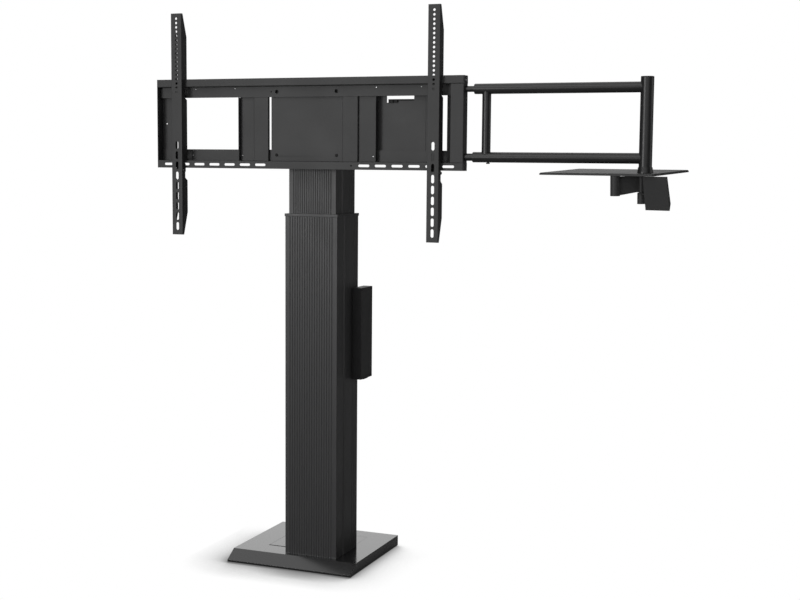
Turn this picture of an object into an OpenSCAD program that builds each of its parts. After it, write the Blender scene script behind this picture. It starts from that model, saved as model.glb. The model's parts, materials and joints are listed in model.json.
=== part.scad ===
// Motorized screen stand: a fluted lifting column on an offset floor base, a wide frame with two
// upright screen brackets, and a telescopic side arm that carries a swivelling tray.
// Millimetres. The column's axis is x = 0, y = 0, the floor is z = 0 and the front faces -Y.

/* [Base] */
// Width of the base
base_w = 401.6; // [380:1:440]
// Distance from the column's axis to the left side of the base
base_left = 248.5; // [225:0.5:265]
// Distance from the column's axis to the front edge of the base
base_front = 129.9; // [125:0.1:140]
// Distance from the column's axis to the back of the base
base_back = 236.8; // [220:0.1:260]
// Height of the base cover's top
base_h = 32.9; // [32:0.1:40]
// Height of the upright lip below the sloping front
base_lip = 7.5; // [5:0.1:9]
// Depth of the sloping front
base_slope = 40.3; // [32:0.1:46]
// Thickness of the base cover
base_skin = 3; // [2.5:0.1:3.5]
// Thickness of the heavy base plate
plate_t = 12; // [10:0.5:13]
// Height of the rubber pads
pad_h = 4; // [3.5:0.1:5]
// Diameter of the rubber pads
pad_d = 40; // [30:1:46]
// Gap between the floor and the lower rim of the base cover
rim_gap = 1.5; // [1:0.1:2.5]
// Thickness of the flange under the column
flange_t = 6; // [5:0.5:7]

/* [Column] */
// Outer column width
col_w = 165.9; // [162:0.1:172]
// Outer column depth
col_d = 150.2; // [148:0.1:156]
// Height of the outer column's top above the floor
col_top = 1043; // [1000:1:1100]
// Wall of the outer column
col_wall = 4.5; // [4:0.1:5]
// Distance between the two columns' side walls
slide_x = 3.75; // [3:0.05:5]
// Distance between the two columns' front and back walls
slide_y = 3.8; // [3:0.05:5]
// Wall of the inner column
in_wall = 4.5; // [4:0.1:5]
// Number of flutes across a front face
flutes = 18; // [12:1:22]
// Depth of a flute
flute_depth = 1.2; // [0.6:0.1:1.4]
// Width of the long groove in a side face
groove_w = 8; // [5:0.5:10]
// Depth of that groove
groove_depth = 2.6; // [1.5:0.1:3]
// Distance from the column's axis forward to that groove
groove_y = 27; // [22:0.5:32]
// Height of the trim ring on the outer column
trim_h = 8; // [6:0.5:12]
// How far the trim ring stands proud
trim_proud = 1.6; // [1:0.1:2]

/* [Lift] */
// Height of the inner column's top, as photographed
in_top = 1400; // [1380:1:1410]
// Travel upwards from the photographed height
lift_up = 500; // [450:10:520]
// Height of the lower glides on the inner column
glide_h = 70; // [50:5:90]
// Spindle radius
spindle_r = 10; // [8:0.5:11]
// Running clearance of shafts in bores
run = 0.05; // [0.03:0.01:0.08]
// Clearance between parts that pass each other
gap = 0.3; // [0.2:0.05:0.4]
// Clearance between the gear case's right end and the column
case_gap_right = 4.05; // [4:0.05:6]
// Clearance between the gear case's left end and the column
case_gap_left = 12.05; // [10:0.05:14]
// Thickness of the drive wheel
gear_t = 10; // [8:0.5:12]
// Motor radius
motor_r = 25; // [22:0.5:27]
// Motor height
motor_h = 106; // [90:1:120]

/* [Control box] */
// Height of the box's lower end above the floor
box_z = 551.5; // [450:0.5:600]
// Length of the box
box_len = 272.5; // [240:0.5:300]
// Distance from the column's axis to the front of the box
box_front = 33; // [20:0.5:45]
// Depth of the box
box_depth = 83; // [70:0.5:95]
// How far the box stands out from the column
box_out = 29.3; // [26:0.1:34]

/* [Frame] */
// Width of the frame
frame_w = 957.6; // [940:0.1:980]
// Height of the frame's lower edge, as photographed
frame_z = 1171.9; // [1165:0.1:1180]
// Height of the frame
frame_h = 257; // [250:0.1:270]
// Distance from the column's axis to the frame's front
frame_front = 125.8; // [124:0.1:130]
// Depth of the frame
frame_d = 32.4; // [31.5:0.1:34]
// Thickness of the frame's sheet
sheet = 2; // [1.8:0.1:2.2]
// Height of the upper lip
top_lip = 20.4; // [18:0.1:23]
// Height of the lower lip
low_lip = 22.1; // [20:0.1:24]
// Height of the rails' webs
web_h = 32.5; // [28:0.5:34]
// How far the upper web lies behind the front
web_in = 18; // [17:0.1:18.5]
// Pitch of the slots in the lower lip
slot_pitch = 50; // [45:1:52]
// Distance from the column's axis to the first slot
slot_first = 137; // [130:1:140]
// Length of a slot in the lower lip
slot_len = 34; // [30:0.1:40]
// Height of a slot in the lower lip
slot_h = 8; // [7:0.1:9]
// How far the row of slots lies left of the frame's middle
slot_shift = 1; // [0:0.1:2]
// Distance from the column's axis to the outer lips of the uprights
upright_out = 216; // [205:1:225]
// Distance of the left upright's step
step_left = 169; // [165:1:172]
// Distance of the right upright's step
step_right = 159; // [155:1:165]
// Distance of the left upright's inner wall
wall_left = 121.4; // [120:0.1:124]
// Distance of the right upright's inner wall
wall_right = 111; // [108:0.1:114]
// How far the uprights' outer lips stand forward
upright_lip = 14.5; // [12:0.5:15]
// Spacing of the two upper frame bolts across
bolt_x = 186.8; // [175:0.1:192]
// Spacing of the two lower frame bolts across
bolt_low_x = 189; // [175:0.1:192]
// How far the lower bolts' middle lies left of the column's axis
bolt_shift = 3.5; // [0:0.1:4]
// Width of the left end's back flange
flange_left = 45; // [38:1:60]
// Width of the right end's front flange
flange_right = 37.6; // [32:0.1:42]

/* [Screen brackets] */
// Distance between the two rows of screen holes
screen_w = 800; // [700:1:820]
// Bracket length
br_len = 641.4; // [620:0.1:660]
// Height of the brackets' lower ends, as photographed
br_z = 976.1; // [970:0.1:985]
// Bracket width
br_w = 34.6; // [32:0.1:40]
// How far the brackets stand in front of the frame
br_d = 17.5; // [15:0.1:20]
// Depth of the bracket's flanges
br_flange = 30; // [26:0.5:30.5]
// How far both brackets stand left of the frame's middle, as photographed
br_shift = 2.2; // [0:0.1:3]
// Number of round holes
hole_n = 18; // [10:1:18]
// Pitch of the round holes
hole_pitch = 12.4; // [12:0.1:12.5]
// Diameter of the round holes
hole_d = 7; // [6:0.1:8]
// Distance from the bracket's top to the first round hole
hole_first = 15; // [14:0.5:20]
// Number of long slots
slot_n = 9; // [5:1:9]
// Distance from the bracket's lower end to the lowest slot's end
slot_low = 13.5; // [10:0.5:16]
// Pitch of the long slots
long_pitch = 29.6; // [28:0.1:30]
// Length of a long slot
long_len = 23; // [18:0.1:24]
// Width of a long slot
long_w = 9; // [7:0.1:10]
// Distance from the frame's front to the latch's screw
latch_in = 10; // [9.5:0.1:10.3]
// Distance from the frame's lower edge down to the latch's screw
latch_drop = 6.5; // [6:0.1:9]

/* [Side arm] */
// Height of the upper tube's axis above the frame's lower edge
arm_upper = 220.4; // [215:0.1:222]
// Height of the lower tube's axis above the frame's lower edge
arm_lower = 37.4; // [36.5:0.1:42]
// Outer tube diameter
tube_d = 28; // [27:0.1:30]
// Wall of the arm's tubes
tube_wall = 2; // [1.5:0.1:2]
// Diameter of the upper inner tube
inner_up_d = 16; // [14:0.5:18]
// Diameter of the lower inner tube
inner_low_d = 20; // [17:0.5:20.5]
// Bare length of the inner tubes at rest
arm_gap = 23.2; // [22:0.1:40]
// How much further out the upper tube begins
upper_setback = 3; // [0:0.1:5]
// Furthest that the arm pulls out
arm_out = 250; // [200:10:260]
// Distance from the frame's end to the post's axis
post_x = 492.3; // [460:0.1:520]
// Post diameter
post_d = 34.2; // [32:0.1:38]
// Height of the post above the tray
post_h = 244.6; // [225:0.1:260]
// Distance from the outer tubes' ends to the brace's axis
brace_x = 36; // [34:0.1:60]
// Brace diameter
brace_d = 24; // [22:0.1:27]
// Collar diameter
collar_d = 41; // [39:0.5:46]
// Collar height
collar_h = 15.2; // [12:0.1:20]

/* [Tray] */
// Tray width
tray_w = 330.2; // [300:0.1:360]
// Tray depth
tray_d = 233.2; // [210:0.1:260]
// Tray thickness
tray_t = 3; // [2.5:0.1:3.5]
// Height of the tray's rim
tray_rim = 6; // [5:0.1:6.5]
// Distance from the post to the tray's right edge
tray_right = 43.8; // [30:0.1:60]
// Distance from the post to the tray's front edge
tray_front = 47.4; // [44:0.1:60]
// How far the tray is turned at rest
tray_turn = -12.64; // [-14:0.01:0]
// Slope of the tray towards the front
tray_slope = 2.6; // [0:0.1:3]
// Radius of the swing link's barrel
barrel_r = 12.7; // [11:0.1:13]
// Distance from the post to the barrel, across
barrel_u = 68.4; // [60:0.1:90]
// Length of the barrel
barrel_h = 52.4; // [50:0.1:60]
// Distance from the post to the holder's pivot, across
pivot_u = 15.7; // [12:0.1:20]
// Width of the holder plate
holder_w = 65.6; // [55:0.1:75]
// Height of the holder plate
holder_h = 88; // [75:1:95]
// How far the foot of the holder plate leans back
holder_lean = 20; // [10:1:24]

/* [Hidden] */
$fn = 48;
eps = 0.01;

// Base levels
base_x0 = -base_left;
base_x1 = base_w - base_left;
plate_top = pad_h + plate_t;
flange_top = plate_top + flange_t;
cover_under = base_h - base_skin;
flange_x = col_w / 2 + 17;
flange_y = col_d / 2 + 8;
flange_bolt_x = col_w / 2 + 8.5;
flange_bolt_y = col_d / 2 - 17;
bolt_head_h = min(5, cover_under - flange_top - 1);
panel_x0 = -166;
panel_x1 = 74;
panel_y0 = -20;
panel_y1 = 177;
ledge = 8;

// Column levels
in_w = col_w - 2 * (col_wall + slide_x);
in_d = col_d - 2 * (col_wall + slide_y);
trim_lip = 6;
upper_glide_z = col_top - trim_h - 80;
upper_glide_h = 78;
in_bottom = upper_glide_z - glide_h - 2 - lift_up;

// Drive levels
pinion_teeth = 14;
wheel_teeth = 28;
case_wall = 3;
case_play = 2;
// The gears fill the case, so their tooth module follows from the room inside the column
case_room = col_w - 2 * col_wall - case_gap_left - case_gap_right - 2 * (case_wall + case_play);
gear_m = case_room / (pinion_teeth + wheel_teeth + 1.6);
centre_distance = gear_m * (pinion_teeth + wheel_teeth) / 2;
wheel_r = gear_m * (wheel_teeth / 2 + 0.8);
pinion_r = gear_m * (pinion_teeth / 2 + 0.8);
spindle_x = col_w / 2 - col_wall - case_gap_right - case_wall - case_play - wheel_r;
motor_x = spindle_x - centre_distance;
case_y = wheel_r + case_play;
case_x0 = motor_x - pinion_r - case_play;
case_x1 = spindle_x + wheel_r + case_play;
wheel_z = flange_top + case_wall + 2;
case_top = wheel_z + gear_t + 9;
lid_top = case_top + 3;
bearing_h = 12;
bearing_r = spindle_r + 11;
nut_r = spindle_r + 6;
nut_flange = 6;
bridge_t = 8;
spindle_top = in_bottom + lift_up + 60;
motor_shaft_r = 4;

// Frame planes, from the front to the back, and levels
fy0 = -frame_front;
fy1 = fy0 + frame_d;
fx = frame_w / 2;
frame_top = frame_z + frame_h;
top_shelf = frame_top - top_lip;
web_low = top_shelf - web_h;
low_shelf = frame_z + low_lip;
low_web_top = low_shelf + web_h;
end_plane = fy1 - sheet;
web_plane = end_plane - sheet;
plate_plane = web_plane - sheet;
crown_front = fy0 + web_in + sheet + gap;
rail_x = fx - sheet - gap / 2;
fold = 0.02;
web_end = fx - flange_right - 2;
bolt_low_z = low_shelf + 17.5;
bolt_top_z = top_shelf - 17.5;
frame_bolt_r = 4;
bolts = [[-bolt_x / 2, bolt_top_z], [bolt_x / 2, bolt_top_z],
    [-bolt_low_x / 2 - bolt_shift, bolt_low_z], [bolt_low_x / 2 - bolt_shift, bolt_low_z]];
seat_y = -in_d / 2;
seat_bolt_x = 45;
cap_plug = min(4, in_top - bolt_top_z - frame_bolt_r - 0.5);
plate_left = 115;
plate_right = wall_right - 1;
flange_step = 20.6;
panel_gap = 47.6;
panel_left = upright_out - 18;
panel_right = fx - flange_right - flange_step - panel_gap;
rail_screw_r = 2;
rail_screw_h = 1.2;
top_screws = [-fx + 120.6, -upright_out - 12, upright_out, fx - 129.6];
low_screw = -fx + 103.6;
end_screw_r = 3;
end_screw_z = frame_top - 13;
pan_depth = 6;

// Screen brackets
br_y0 = fy0 - gap - br_d;
br_top = br_z + br_len;
latch_z = frame_z - latch_drop;
latch_y = fy0 - latch_in;
latch_screw_r = 3;
latch_r = 5;
br_chamfer = 66;
br_tip = 8.5;

// Side arm
arm_y = fy0 + 17;
arm_x0 = fx + arm_gap;
post_cx = fx + post_x;
upper_z = frame_z + arm_upper;
lower_z = frame_z + arm_lower;
tube_r = tube_d / 2;
bore_r = tube_r - tube_wall;
inner_end = arm_x0 + arm_out + 88;
anchor_len = 18;
anchor_r = 12;
bush_len = 30;
brace_cx = arm_x0 + brace_x;
lock_x = brace_cx + 6;
post_r = post_d / 2;
post_wall = 2.5;
plug_gap = 0.15;
collar_foot = 3;
collar_rim = 1.2;
tray_top = frame_z;
slope_rise = tan(tray_slope);
post_z0 = tray_top + post_r * slope_rise + gap + 0.4;
post_top = tray_top + post_h;
bolt_r = 5;
barrel_v = -34;
pivot_v = 14;
link_top = -tray_rim - 1;
link_low = -51.5;
link_t = 5;
knob_r = 11.3;
knob_low = -81.2;
lug_t = 3;
holder_u = 9.4;
holder_v = -37;
holder_top = link_top + 0.2;

// Box from its lowest to its highest corner
module slab(low, high) {
    translate(low) cube(high - low);
}

// Cylinder along X, from x0 to x1
module rod_x(r, x0, x1, y, z) {
    translate([x0, y, z]) rotate([0, 90, 0]) cylinder(r = r, h = x1 - x0);
}

// Cylinder along Y, from y0 to y1
module rod_y(r, y0, y1, x, z) {
    translate([x, y0, z]) rotate([-90, 0, 0]) cylinder(r = r, h = y1 - y0);
}

// Cylinder along Z, from z0 to z1
module rod_z(r, z0, z1, x = 0, y = 0) {
    translate([x, y, z0]) cylinder(r = r, h = z1 - z0);
}

// Round-ended slot through a sheet that faces the front, lying along X
module slot_cut_x(x, z, length, height, y0, y1) {
    half = (length - height) / 2;
    rod_y(height / 2, y0, y1, x - half, z);
    rod_y(height / 2, y0, y1, x + half, z);
    slab([x - half, y0, z - height / 2], [x + half, y1, z + height / 2]);
}

// Round-ended slot through a sheet that faces the front, standing along Z
module slot_cut_z(x, z, length, width, y0, y1) {
    half = (length - width) / 2;
    rod_y(width / 2, y0, y1, x, z - half);
    rod_y(width / 2, y0, y1, x, z + half);
    slab([x - width / 2, y0, z - half], [x + width / 2, y1, z + half]);
}

// Places a piece in the tray's own frame: turned about the post and sloping to the front
module tray_place() {
    translate([post_cx, arm_y, tray_top]) rotate([0, 0, tray_turn]) rotate([tray_slope, 0, 0]) children();
}

// Side outline of the base cover
module base_outline() {
    polygon([[-base_front, rim_gap], [-base_front, base_lip], [base_slope - base_front, base_h],
        [base_back, base_h], [base_back, rim_gap]]);
}

// Inner side outline of the base cover
module base_hollow() {
    run_in = base_slope - base_front + base_skin;
    polygon([[base_skin - base_front, -1], [base_skin - base_front, base_lip - base_skin],
        [run_in, cover_under], [base_back - base_skin, cover_under], [base_back - base_skin, -1]]);
}

// Stands a side outline drawn in Y and Z up across X
module across(x0, x1) {
    translate([x0, 0, 0]) rotate([90, 0, 90]) linear_extrude(height = x1 - x0) children();
}

// Ground outline of the panel opening
module panel_area(grow) {
    difference() {
        translate([panel_x0 - grow, panel_y0 - grow])
            square([panel_x1 - panel_x0 + 2 * grow, panel_y1 - panel_y0 + 2 * grow]);
        square([col_w + 2 - 2 * grow, col_d + 2 - 2 * grow], center = true);
    }
}

module base_cover() {
    color([0.13, 0.13, 0.14]) {
        difference() {
            across(base_x0, base_x1) base_outline();
            across(base_x0 + base_skin, base_x1 - base_skin) base_hollow();
            slab([-col_w / 2 - gap, -col_d / 2 - gap, 0], [col_w / 2 + gap, col_d / 2 + gap, base_h + 1]);
            translate([0, 0, cover_under - 1]) linear_extrude(height = base_skin + 2) panel_area(gap);
        }
        // Ledge that carries the access panel
        difference() {
            translate([0, 0, cover_under - 2]) linear_extrude(height = 2) panel_area(ledge);
            translate([0, 0, cover_under - 3]) linear_extrude(height = 4) panel_area(-ledge);
            slab([-col_w / 2 - gap, -col_d / 2 - gap, 0], [col_w / 2 + gap, col_d / 2 + gap, base_h + 1]);
        }
        // Stand-offs that rest on the base plate
        for (x = [base_x0 + 20, base_x1 - 20], y = [-70, 70, base_back - 20]) {
            rod_z(7, plate_top, cover_under + 1, x, y);
        }
    }
}

module access_panel() {
    color([0.14, 0.14, 0.15]) translate([0, 0, cover_under])
        linear_extrude(height = base_skin) panel_area(0);
}

module base_plate() {
    color([0.2, 0.2, 0.2]) difference() {
        slab([base_x0 + base_skin + 1, -base_front + 22, pad_h],
            [base_x1 - base_skin - 1, base_back - base_skin - 1, plate_top]);
        for (x = [-1, 1], y = [-1, 1]) {
            rod_z(4.2, pad_h - 1, plate_top + 1, x * flange_bolt_x, y * flange_bolt_y);
        }
    }
}

module base_pads() {
    inset = pad_d / 2 + base_skin + 5;
    color([0.05, 0.05, 0.05]) {
        for (x = [base_x0 + inset, base_x1 - inset], y = [inset + 20 - base_front, base_back - inset]) {
            rod_z(pad_d / 2, 0, pad_h, x, y);
        }
        rod_z(pad_d / 2, 0, pad_h);
    }
}

module column_flange() {
    color([0.25, 0.25, 0.26]) difference() {
        slab([-flange_x, -flange_y, plate_top], [flange_x, flange_y, flange_top]);
        for (x = [-1, 1], y = [-1, 1]) {
            rod_z(4.2, plate_top - 1, flange_top + 1, x * flange_bolt_x, y * flange_bolt_y);
        }
    }
}

module flange_bolts() {
    color([0.6, 0.6, 0.62]) {
        for (x = [-1, 1], y = [-1, 1]) {
            rod_z(6.5, flange_top, flange_top + bolt_head_h, x * flange_bolt_x, y * flange_bolt_y);
            rod_z(4, pad_h, flange_top + 1, x * flange_bolt_x, y * flange_bolt_y);
        }
    }
}

// Ground outline of the groove in a right side face: steep in front, sloping out at the back
module groove_outline() {
    half = groove_w / 2;
    polygon([[1, -half], [0, -half], [-groove_depth, 0.6 - half], [-groove_depth, half - groove_depth],
        [0, half], [1, half]]);
}

// Ground outline of a fluted column tube
module tube_outline(w, d, wall, side_groove) {
    corner = 12;
    pitch = (w - 2 * corner) / flutes;
    difference() {
        square([w, d], center = true);
        square([w - 2 * wall, d - 2 * wall], center = true);
        for (s = [-1, 1], i = [0 : flutes - 1]) {
            translate([-w / 2 + corner + (i + 0.5) * pitch, s * (d / 2 + 0.6)])
                circle(r = flute_depth + 0.6, $fn = 24);
        }
        for (s = [-1, 1]) {
            translate([s * w / 2, side_groove]) mirror([s < 0 ? 1 : 0, 0, 0]) groove_outline();
            for (k = [0 : 2]) {
                translate([s * (w / 2 + 0.6), d / 2 - 14 - k * 12])
                    circle(r = flute_depth + 0.2, $fn = 24);
            }
        }
    }
}

module outer_column() {
    color([0.17, 0.17, 0.18]) translate([0, 0, flange_top])
        linear_extrude(height = col_top - trim_lip - flange_top)
            tube_outline(col_w, col_d, col_wall, -groove_y);
}

module column_trim() {
    // The ring caps the outer column and wraps its upper edge
    color([0.08, 0.08, 0.08]) difference() {
        slab([-col_w / 2 - trim_proud, -col_d / 2 - trim_proud, col_top - trim_h],
            [col_w / 2 + trim_proud, col_d / 2 + trim_proud, col_top]);
        slab([-col_w / 2, -col_d / 2, 0], [col_w / 2, col_d / 2, col_top - trim_lip]);
        slab([-in_w / 2 - gap, -in_d / 2 - gap, 0], [in_w / 2 + gap, in_d / 2 + gap, col_top + 1]);
    }
}

// Four flat pads on the sides and four on the front and back of a column
module glide_set(w, d, thick_x, thick_y, z, h, pad) {
    for (s = [-1, 1], t = [-1, 1]) {
        slab([s > 0 ? w : -w - thick_x, t * 40 - pad / 2, z],
            [s > 0 ? w + thick_x : -w, t * 40 + pad / 2, z + h]);
        slab([t * 40 - pad / 2, s > 0 ? d : -d - thick_y, z],
            [t * 40 + pad / 2, s > 0 ? d + thick_y : -d, z + h]);
    }
}

module outer_glides() {
    color([0.85, 0.85, 0.82])
        glide_set(in_w / 2 + gap, in_d / 2 + gap, slide_x - gap, slide_y - gap, upper_glide_z,
            upper_glide_h, 24);
}

module inner_glides() {
    color([0.85, 0.85, 0.82])
        glide_set(in_w / 2, in_d / 2, slide_x - gap, slide_y - gap, in_bottom, glide_h, 24);
}

module gear_case() {
    color([0.3, 0.3, 0.32]) difference() {
        slab([case_x0 - case_wall, -case_y - case_wall, flange_top],
            [case_x1 + case_wall, case_y + case_wall, case_top]);
        slab([case_x0, -case_y, flange_top + case_wall], [case_x1, case_y, case_top + 1]);
    }
}

module gear_case_lid() {
    color([0.32, 0.32, 0.34]) difference() {
        union() {
            slab([case_x0 - case_wall, -case_y - case_wall, case_top],
                [case_x1 + case_wall, case_y + case_wall, lid_top]);
            rod_z(bearing_r + 4, lid_top - 1, lid_top + bearing_h, spindle_x);
        }
        rod_z(bearing_r + 0.02, lid_top, lid_top + bearing_h + 1, spindle_x);
        rod_z(spindle_r + 1, case_top - 1, lid_top + 1, spindle_x);
        rod_z(motor_shaft_r + 1, case_top - 1, lid_top + 1, motor_x);
    }
}

module spindle_bearing() {
    color([0.7, 0.7, 0.72]) difference() {
        rod_z(bearing_r, lid_top, lid_top + bearing_h, spindle_x);
        rod_z(spindle_r + run, lid_top - 1, lid_top + bearing_h + 1, spindle_x);
    }
}

module drive_motor() {
    color([0.35, 0.35, 0.36]) difference() {
        union() {
            rod_z(motor_r, lid_top, lid_top + motor_h, motor_x);
            rod_z(motor_r - 8, lid_top + motor_h - 1, lid_top + motor_h + 5, motor_x);
        }
        rod_z(motor_shaft_r + run, lid_top - 1, lid_top + 12, motor_x);
    }
}

// Angle in degrees swept by an involute from its base circle to a radius
function involute(base_r, r) = let(a = acos(min(1, base_r / r))) tan(a) * 180 / PI - a;

// Ground outline of a spur gear with stub teeth, a tooth at angle 0
module gear_outline(teeth) {
    rp = gear_m * teeth / 2;
    rb = rp * cos(20);
    ra = rp + 0.8 * gear_m;
    rf = rp - gear_m;
    r0 = max(rb, rf);
    half = 90 / teeth + involute(rb, rp) - 0.15 / rp * 180 / PI;
    radii = [r0, (r0 + rp) / 2, rp, (rp + ra) / 2, ra];
    left = [for (r = radii) [r, -(half - involute(rb, r))]];
    right = [for (i = [4 : -1 : 0]) [radii[i], half - involute(rb, radii[i])]];
    root = half - involute(rb, r0);
    tooth = concat([[rf, -root]], left, right, [[rf, root]]);
    polygon([for (k = [0 : teeth - 1], p = tooth)
        p[0] * [cos(p[1] + k * 360 / teeth), sin(p[1] + k * 360 / teeth)]]);
}

module spindle_gear() {
    color([0.75, 0.7, 0.45]) difference() {
        translate([spindle_x, 0, wheel_z]) rotate([0, 0, 180 / wheel_teeth])
            linear_extrude(height = gear_t) gear_outline(wheel_teeth);
        rod_z(spindle_r + 0.02, wheel_z - 1, wheel_z + gear_t + 1, spindle_x);
    }
}

module motor_pinion() {
    color([0.6, 0.6, 0.6]) {
        translate([motor_x, 0, wheel_z - 1])
            linear_extrude(height = gear_t + 2) gear_outline(pinion_teeth);
        rod_z(motor_shaft_r, wheel_z + gear_t, lid_top + 11, motor_x);
    }
}

module spindle() {
    color([0.7, 0.7, 0.7]) {
        rod_z(spindle_r, wheel_z - 1, spindle_top, spindle_x);
        rod_z(spindle_r + 5, lid_top + bearing_h + gap, lid_top + bearing_h + 6, spindle_x);
    }
}

module spindle_stop() {
    color([0.5, 0.5, 0.5]) rod_z(spindle_r + 5, spindle_top, spindle_top + 6, spindle_x);
}

module inner_column() {
    color([0.17, 0.17, 0.18]) difference() {
        translate([0, 0, in_bottom])
            linear_extrude(height = in_top - in_bottom) tube_outline(in_w, in_d, in_wall, -24);
        for (x = [-1, 1], z = [bolt_low_z, bolt_top_z]) {
            rod_y(frame_bolt_r + 0.1, seat_y - 1, seat_y + in_wall + 1, x * seat_bolt_x, z);
        }
    }
}

module nut_bridge() {
    color([0.4, 0.4, 0.42]) difference() {
        slab([-in_w / 2 + in_wall, -in_d / 2 + in_wall, in_bottom],
            [in_w / 2 - in_wall, in_d / 2 - in_wall, in_bottom + bridge_t]);
        rod_z(nut_r + 0.02, in_bottom - 1, in_bottom + bridge_t + 1, spindle_x);
    }
}

module drive_nut() {
    color([0.75, 0.65, 0.35]) difference() {
        union() {
            rod_z(nut_r, in_bottom - 1, in_bottom + 28, spindle_x);
            rod_z(nut_r + 8, in_bottom - nut_flange, in_bottom, spindle_x);
        }
        rod_z(spindle_r + run, in_bottom - nut_flange - 1, in_bottom + 29, spindle_x);
    }
}

module column_cap() {
    color([0.08, 0.08, 0.08]) {
        slab([-in_w / 2, -in_d / 2, in_top], [in_w / 2, in_d / 2, in_top + 4]);
        slab([gap - in_w / 2 + in_wall, gap - in_d / 2 + in_wall, in_top - cap_plug],
            [in_w / 2 - in_wall - gap, in_d / 2 - in_wall - gap, in_top + 1]);
    }
}

module head_bracket() {
    // Two plates joined by cheeks, between the inner column and the frame
    half = bolt_x / 2 + 16;
    low = low_shelf + 4;
    high = bolt_top_z + 12;
    front = web_plane + sheet;
    color([0.15, 0.15, 0.16]) difference() {
        union() {
            slab([-in_w / 2 + 4, seat_y - 4, low], [in_w / 2 - 4, seat_y, high]);
            slab([-half, front, low], [half, front + 4, high]);
            slab([-half, front - sheet, low_web_top + gap], [half, front + 1, high]);
            for (s = [-1, 1]) {
                slab([s * (in_w / 2 - 8) - 4, front + 1, low],
                    [s * (in_w / 2 - 8) + 4, seat_y - 1, high]);
            }
        }
        for (b = bolts) {
            rod_y(frame_bolt_r + 0.1, front - 5, front + 5, b[0], b[1]);
        }
        for (x = [-1, 1], z = [bolt_low_z, bolt_top_z]) {
            rod_y(frame_bolt_r + 0.1, seat_y - 5, seat_y + 1, x * seat_bolt_x, z);
        }
    }
}

module frame_bolts() {
    color([0.06, 0.06, 0.06]) {
        for (b = bolts) {
            rod_y(4.5, plate_plane - 2, plate_plane, b[0], b[1]);
            rod_y(frame_bolt_r, plate_plane - 1, plate_plane + 14, b[0], b[1]);
        }
        for (x = [-1, 1], z = [bolt_low_z, bolt_top_z]) {
            rod_y(7, seat_y - 9, seat_y - 4, x * seat_bolt_x, z);
            rod_y(frame_bolt_r, seat_y - 5, seat_y + in_wall + 4, x * seat_bolt_x, z);
        }
    }
}

module centre_plate() {
    color([0.24, 0.24, 0.25]) difference() {
        slab([-plate_left, plate_plane, low_shelf + gap / 2],
            [plate_right, web_plane, top_shelf - sheet - gap / 2]);
        for (b = bolts) {
            rod_y(frame_bolt_r + 0.1, plate_plane - 1, web_plane + 1, b[0], b[1]);
        }
    }
}

// Each rail is three flat strips: its lip, its shelf and its web, with a hairline at each fold
module top_rail() {
    color([0.23, 0.23, 0.24]) difference() {
        union() {
            slab([-rail_x, fy0, top_shelf - sheet], [rail_x, fy0 + sheet, frame_top]);
            slab([-rail_x, fy0 + sheet + fold, top_shelf - sheet],
                [rail_x, fy0 + web_in + sheet, top_shelf]);
            slab([-rail_x, fy0 + web_in, web_low],
                [web_end, fy0 + web_in + sheet, top_shelf - sheet - fold]);
        }
        for (x = [-1, 1]) {
            rod_y(5.5, fy0 + web_in - 1, fy0 + web_in + sheet + 1, x * bolt_x / 2, bolt_top_z);
        }
        rod_y(2.5, fy0 + web_in - 1, fy0 + web_in + sheet + 1, -bolt_x / 2 - 18, bolt_top_z);
    }
}

module bottom_rail() {
    color([0.23, 0.23, 0.24]) difference() {
        union() {
            slab([-rail_x, fy0, frame_z], [rail_x, fy0 + sheet, low_shelf]);
            slab([-rail_x, fy0 + sheet + fold, low_shelf - sheet],
                [rail_x, web_plane + sheet, low_shelf]);
            slab([-rail_x, web_plane, low_shelf + fold], [web_end, web_plane + sheet, low_web_top]);
        }
        for (s = [-1, 1], k = [0 : 6]) {
            if (s < 0 || k > 0) {
                slot_cut_x(s * (slot_first + k * slot_pitch) - slot_shift, frame_z + low_lip / 2, slot_len,
                    slot_h, fy0 - 1, fy0 + sheet + 1);
            }
        }
        rod_y(2.5, fy0 - 1, fy0 + sheet + 1, slot_first + 12 - slot_shift, frame_z + low_lip / 2);
        for (x = [-1, 1]) {
            rod_y(frame_bolt_r + 0.1, web_plane - 1, web_plane + sheet + 1,
                x * bolt_low_x / 2 - bolt_shift, bolt_low_z);
        }
    }
}

module left_end() {
    color([0.22, 0.22, 0.23]) difference() {
        union() {
            slab([-fx, fy0, frame_z], [sheet - fx, fy1, frame_top]);
            slab([-fx, end_plane, low_shelf], [flange_left - fx, fy1, frame_top]);
        }
        for (k = [0 : 2]) {
            rod_y(3, end_plane - 1, fy1 + 1, 14 - fx, bolt_low_z + k * (bolt_top_z - bolt_low_z) / 2);
        }
    }
}

module right_end() {
    color([0.24, 0.24, 0.25]) difference() {
        union() {
            slab([fx - sheet, fy0, frame_z], [fx, fy1, frame_top]);
            slab([fx - flange_right - flange_step, end_plane, low_shelf], [fx, fy1, frame_top]);
            slab([fx - flange_right, fy0, low_shelf + gap / 2],
                [fx, fy0 + sheet, top_shelf - sheet - gap / 2]);
        }
        rod_x(inner_up_d / 2 + 0.1, fx - sheet - 1, fx + 1, arm_y, upper_z);
        rod_x(inner_low_d / 2 + 0.1, fx - sheet - 1, fx + 1, arm_y, lower_z);
    }
}

// Ground outline of an upright: lip, outer web, raised crown and inner wall, on the right side
module upright_outline(step, wall) {
    translate([upright_out - sheet, web_plane - upright_lip]) square([sheet, upright_lip]);
    upright_body(step, wall);
}

// Ground outline of an upright without its outer lip
module upright_body(step, wall) {
    translate([step - sheet, plate_plane]) square([upright_out - step + sheet, sheet]);
    translate([step - sheet, crown_front]) square([sheet, web_plane - crown_front]);
    translate([wall, crown_front]) square([step - wall, sheet]);
    translate([wall, crown_front]) square([sheet, web_plane - crown_front]);
}

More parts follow.
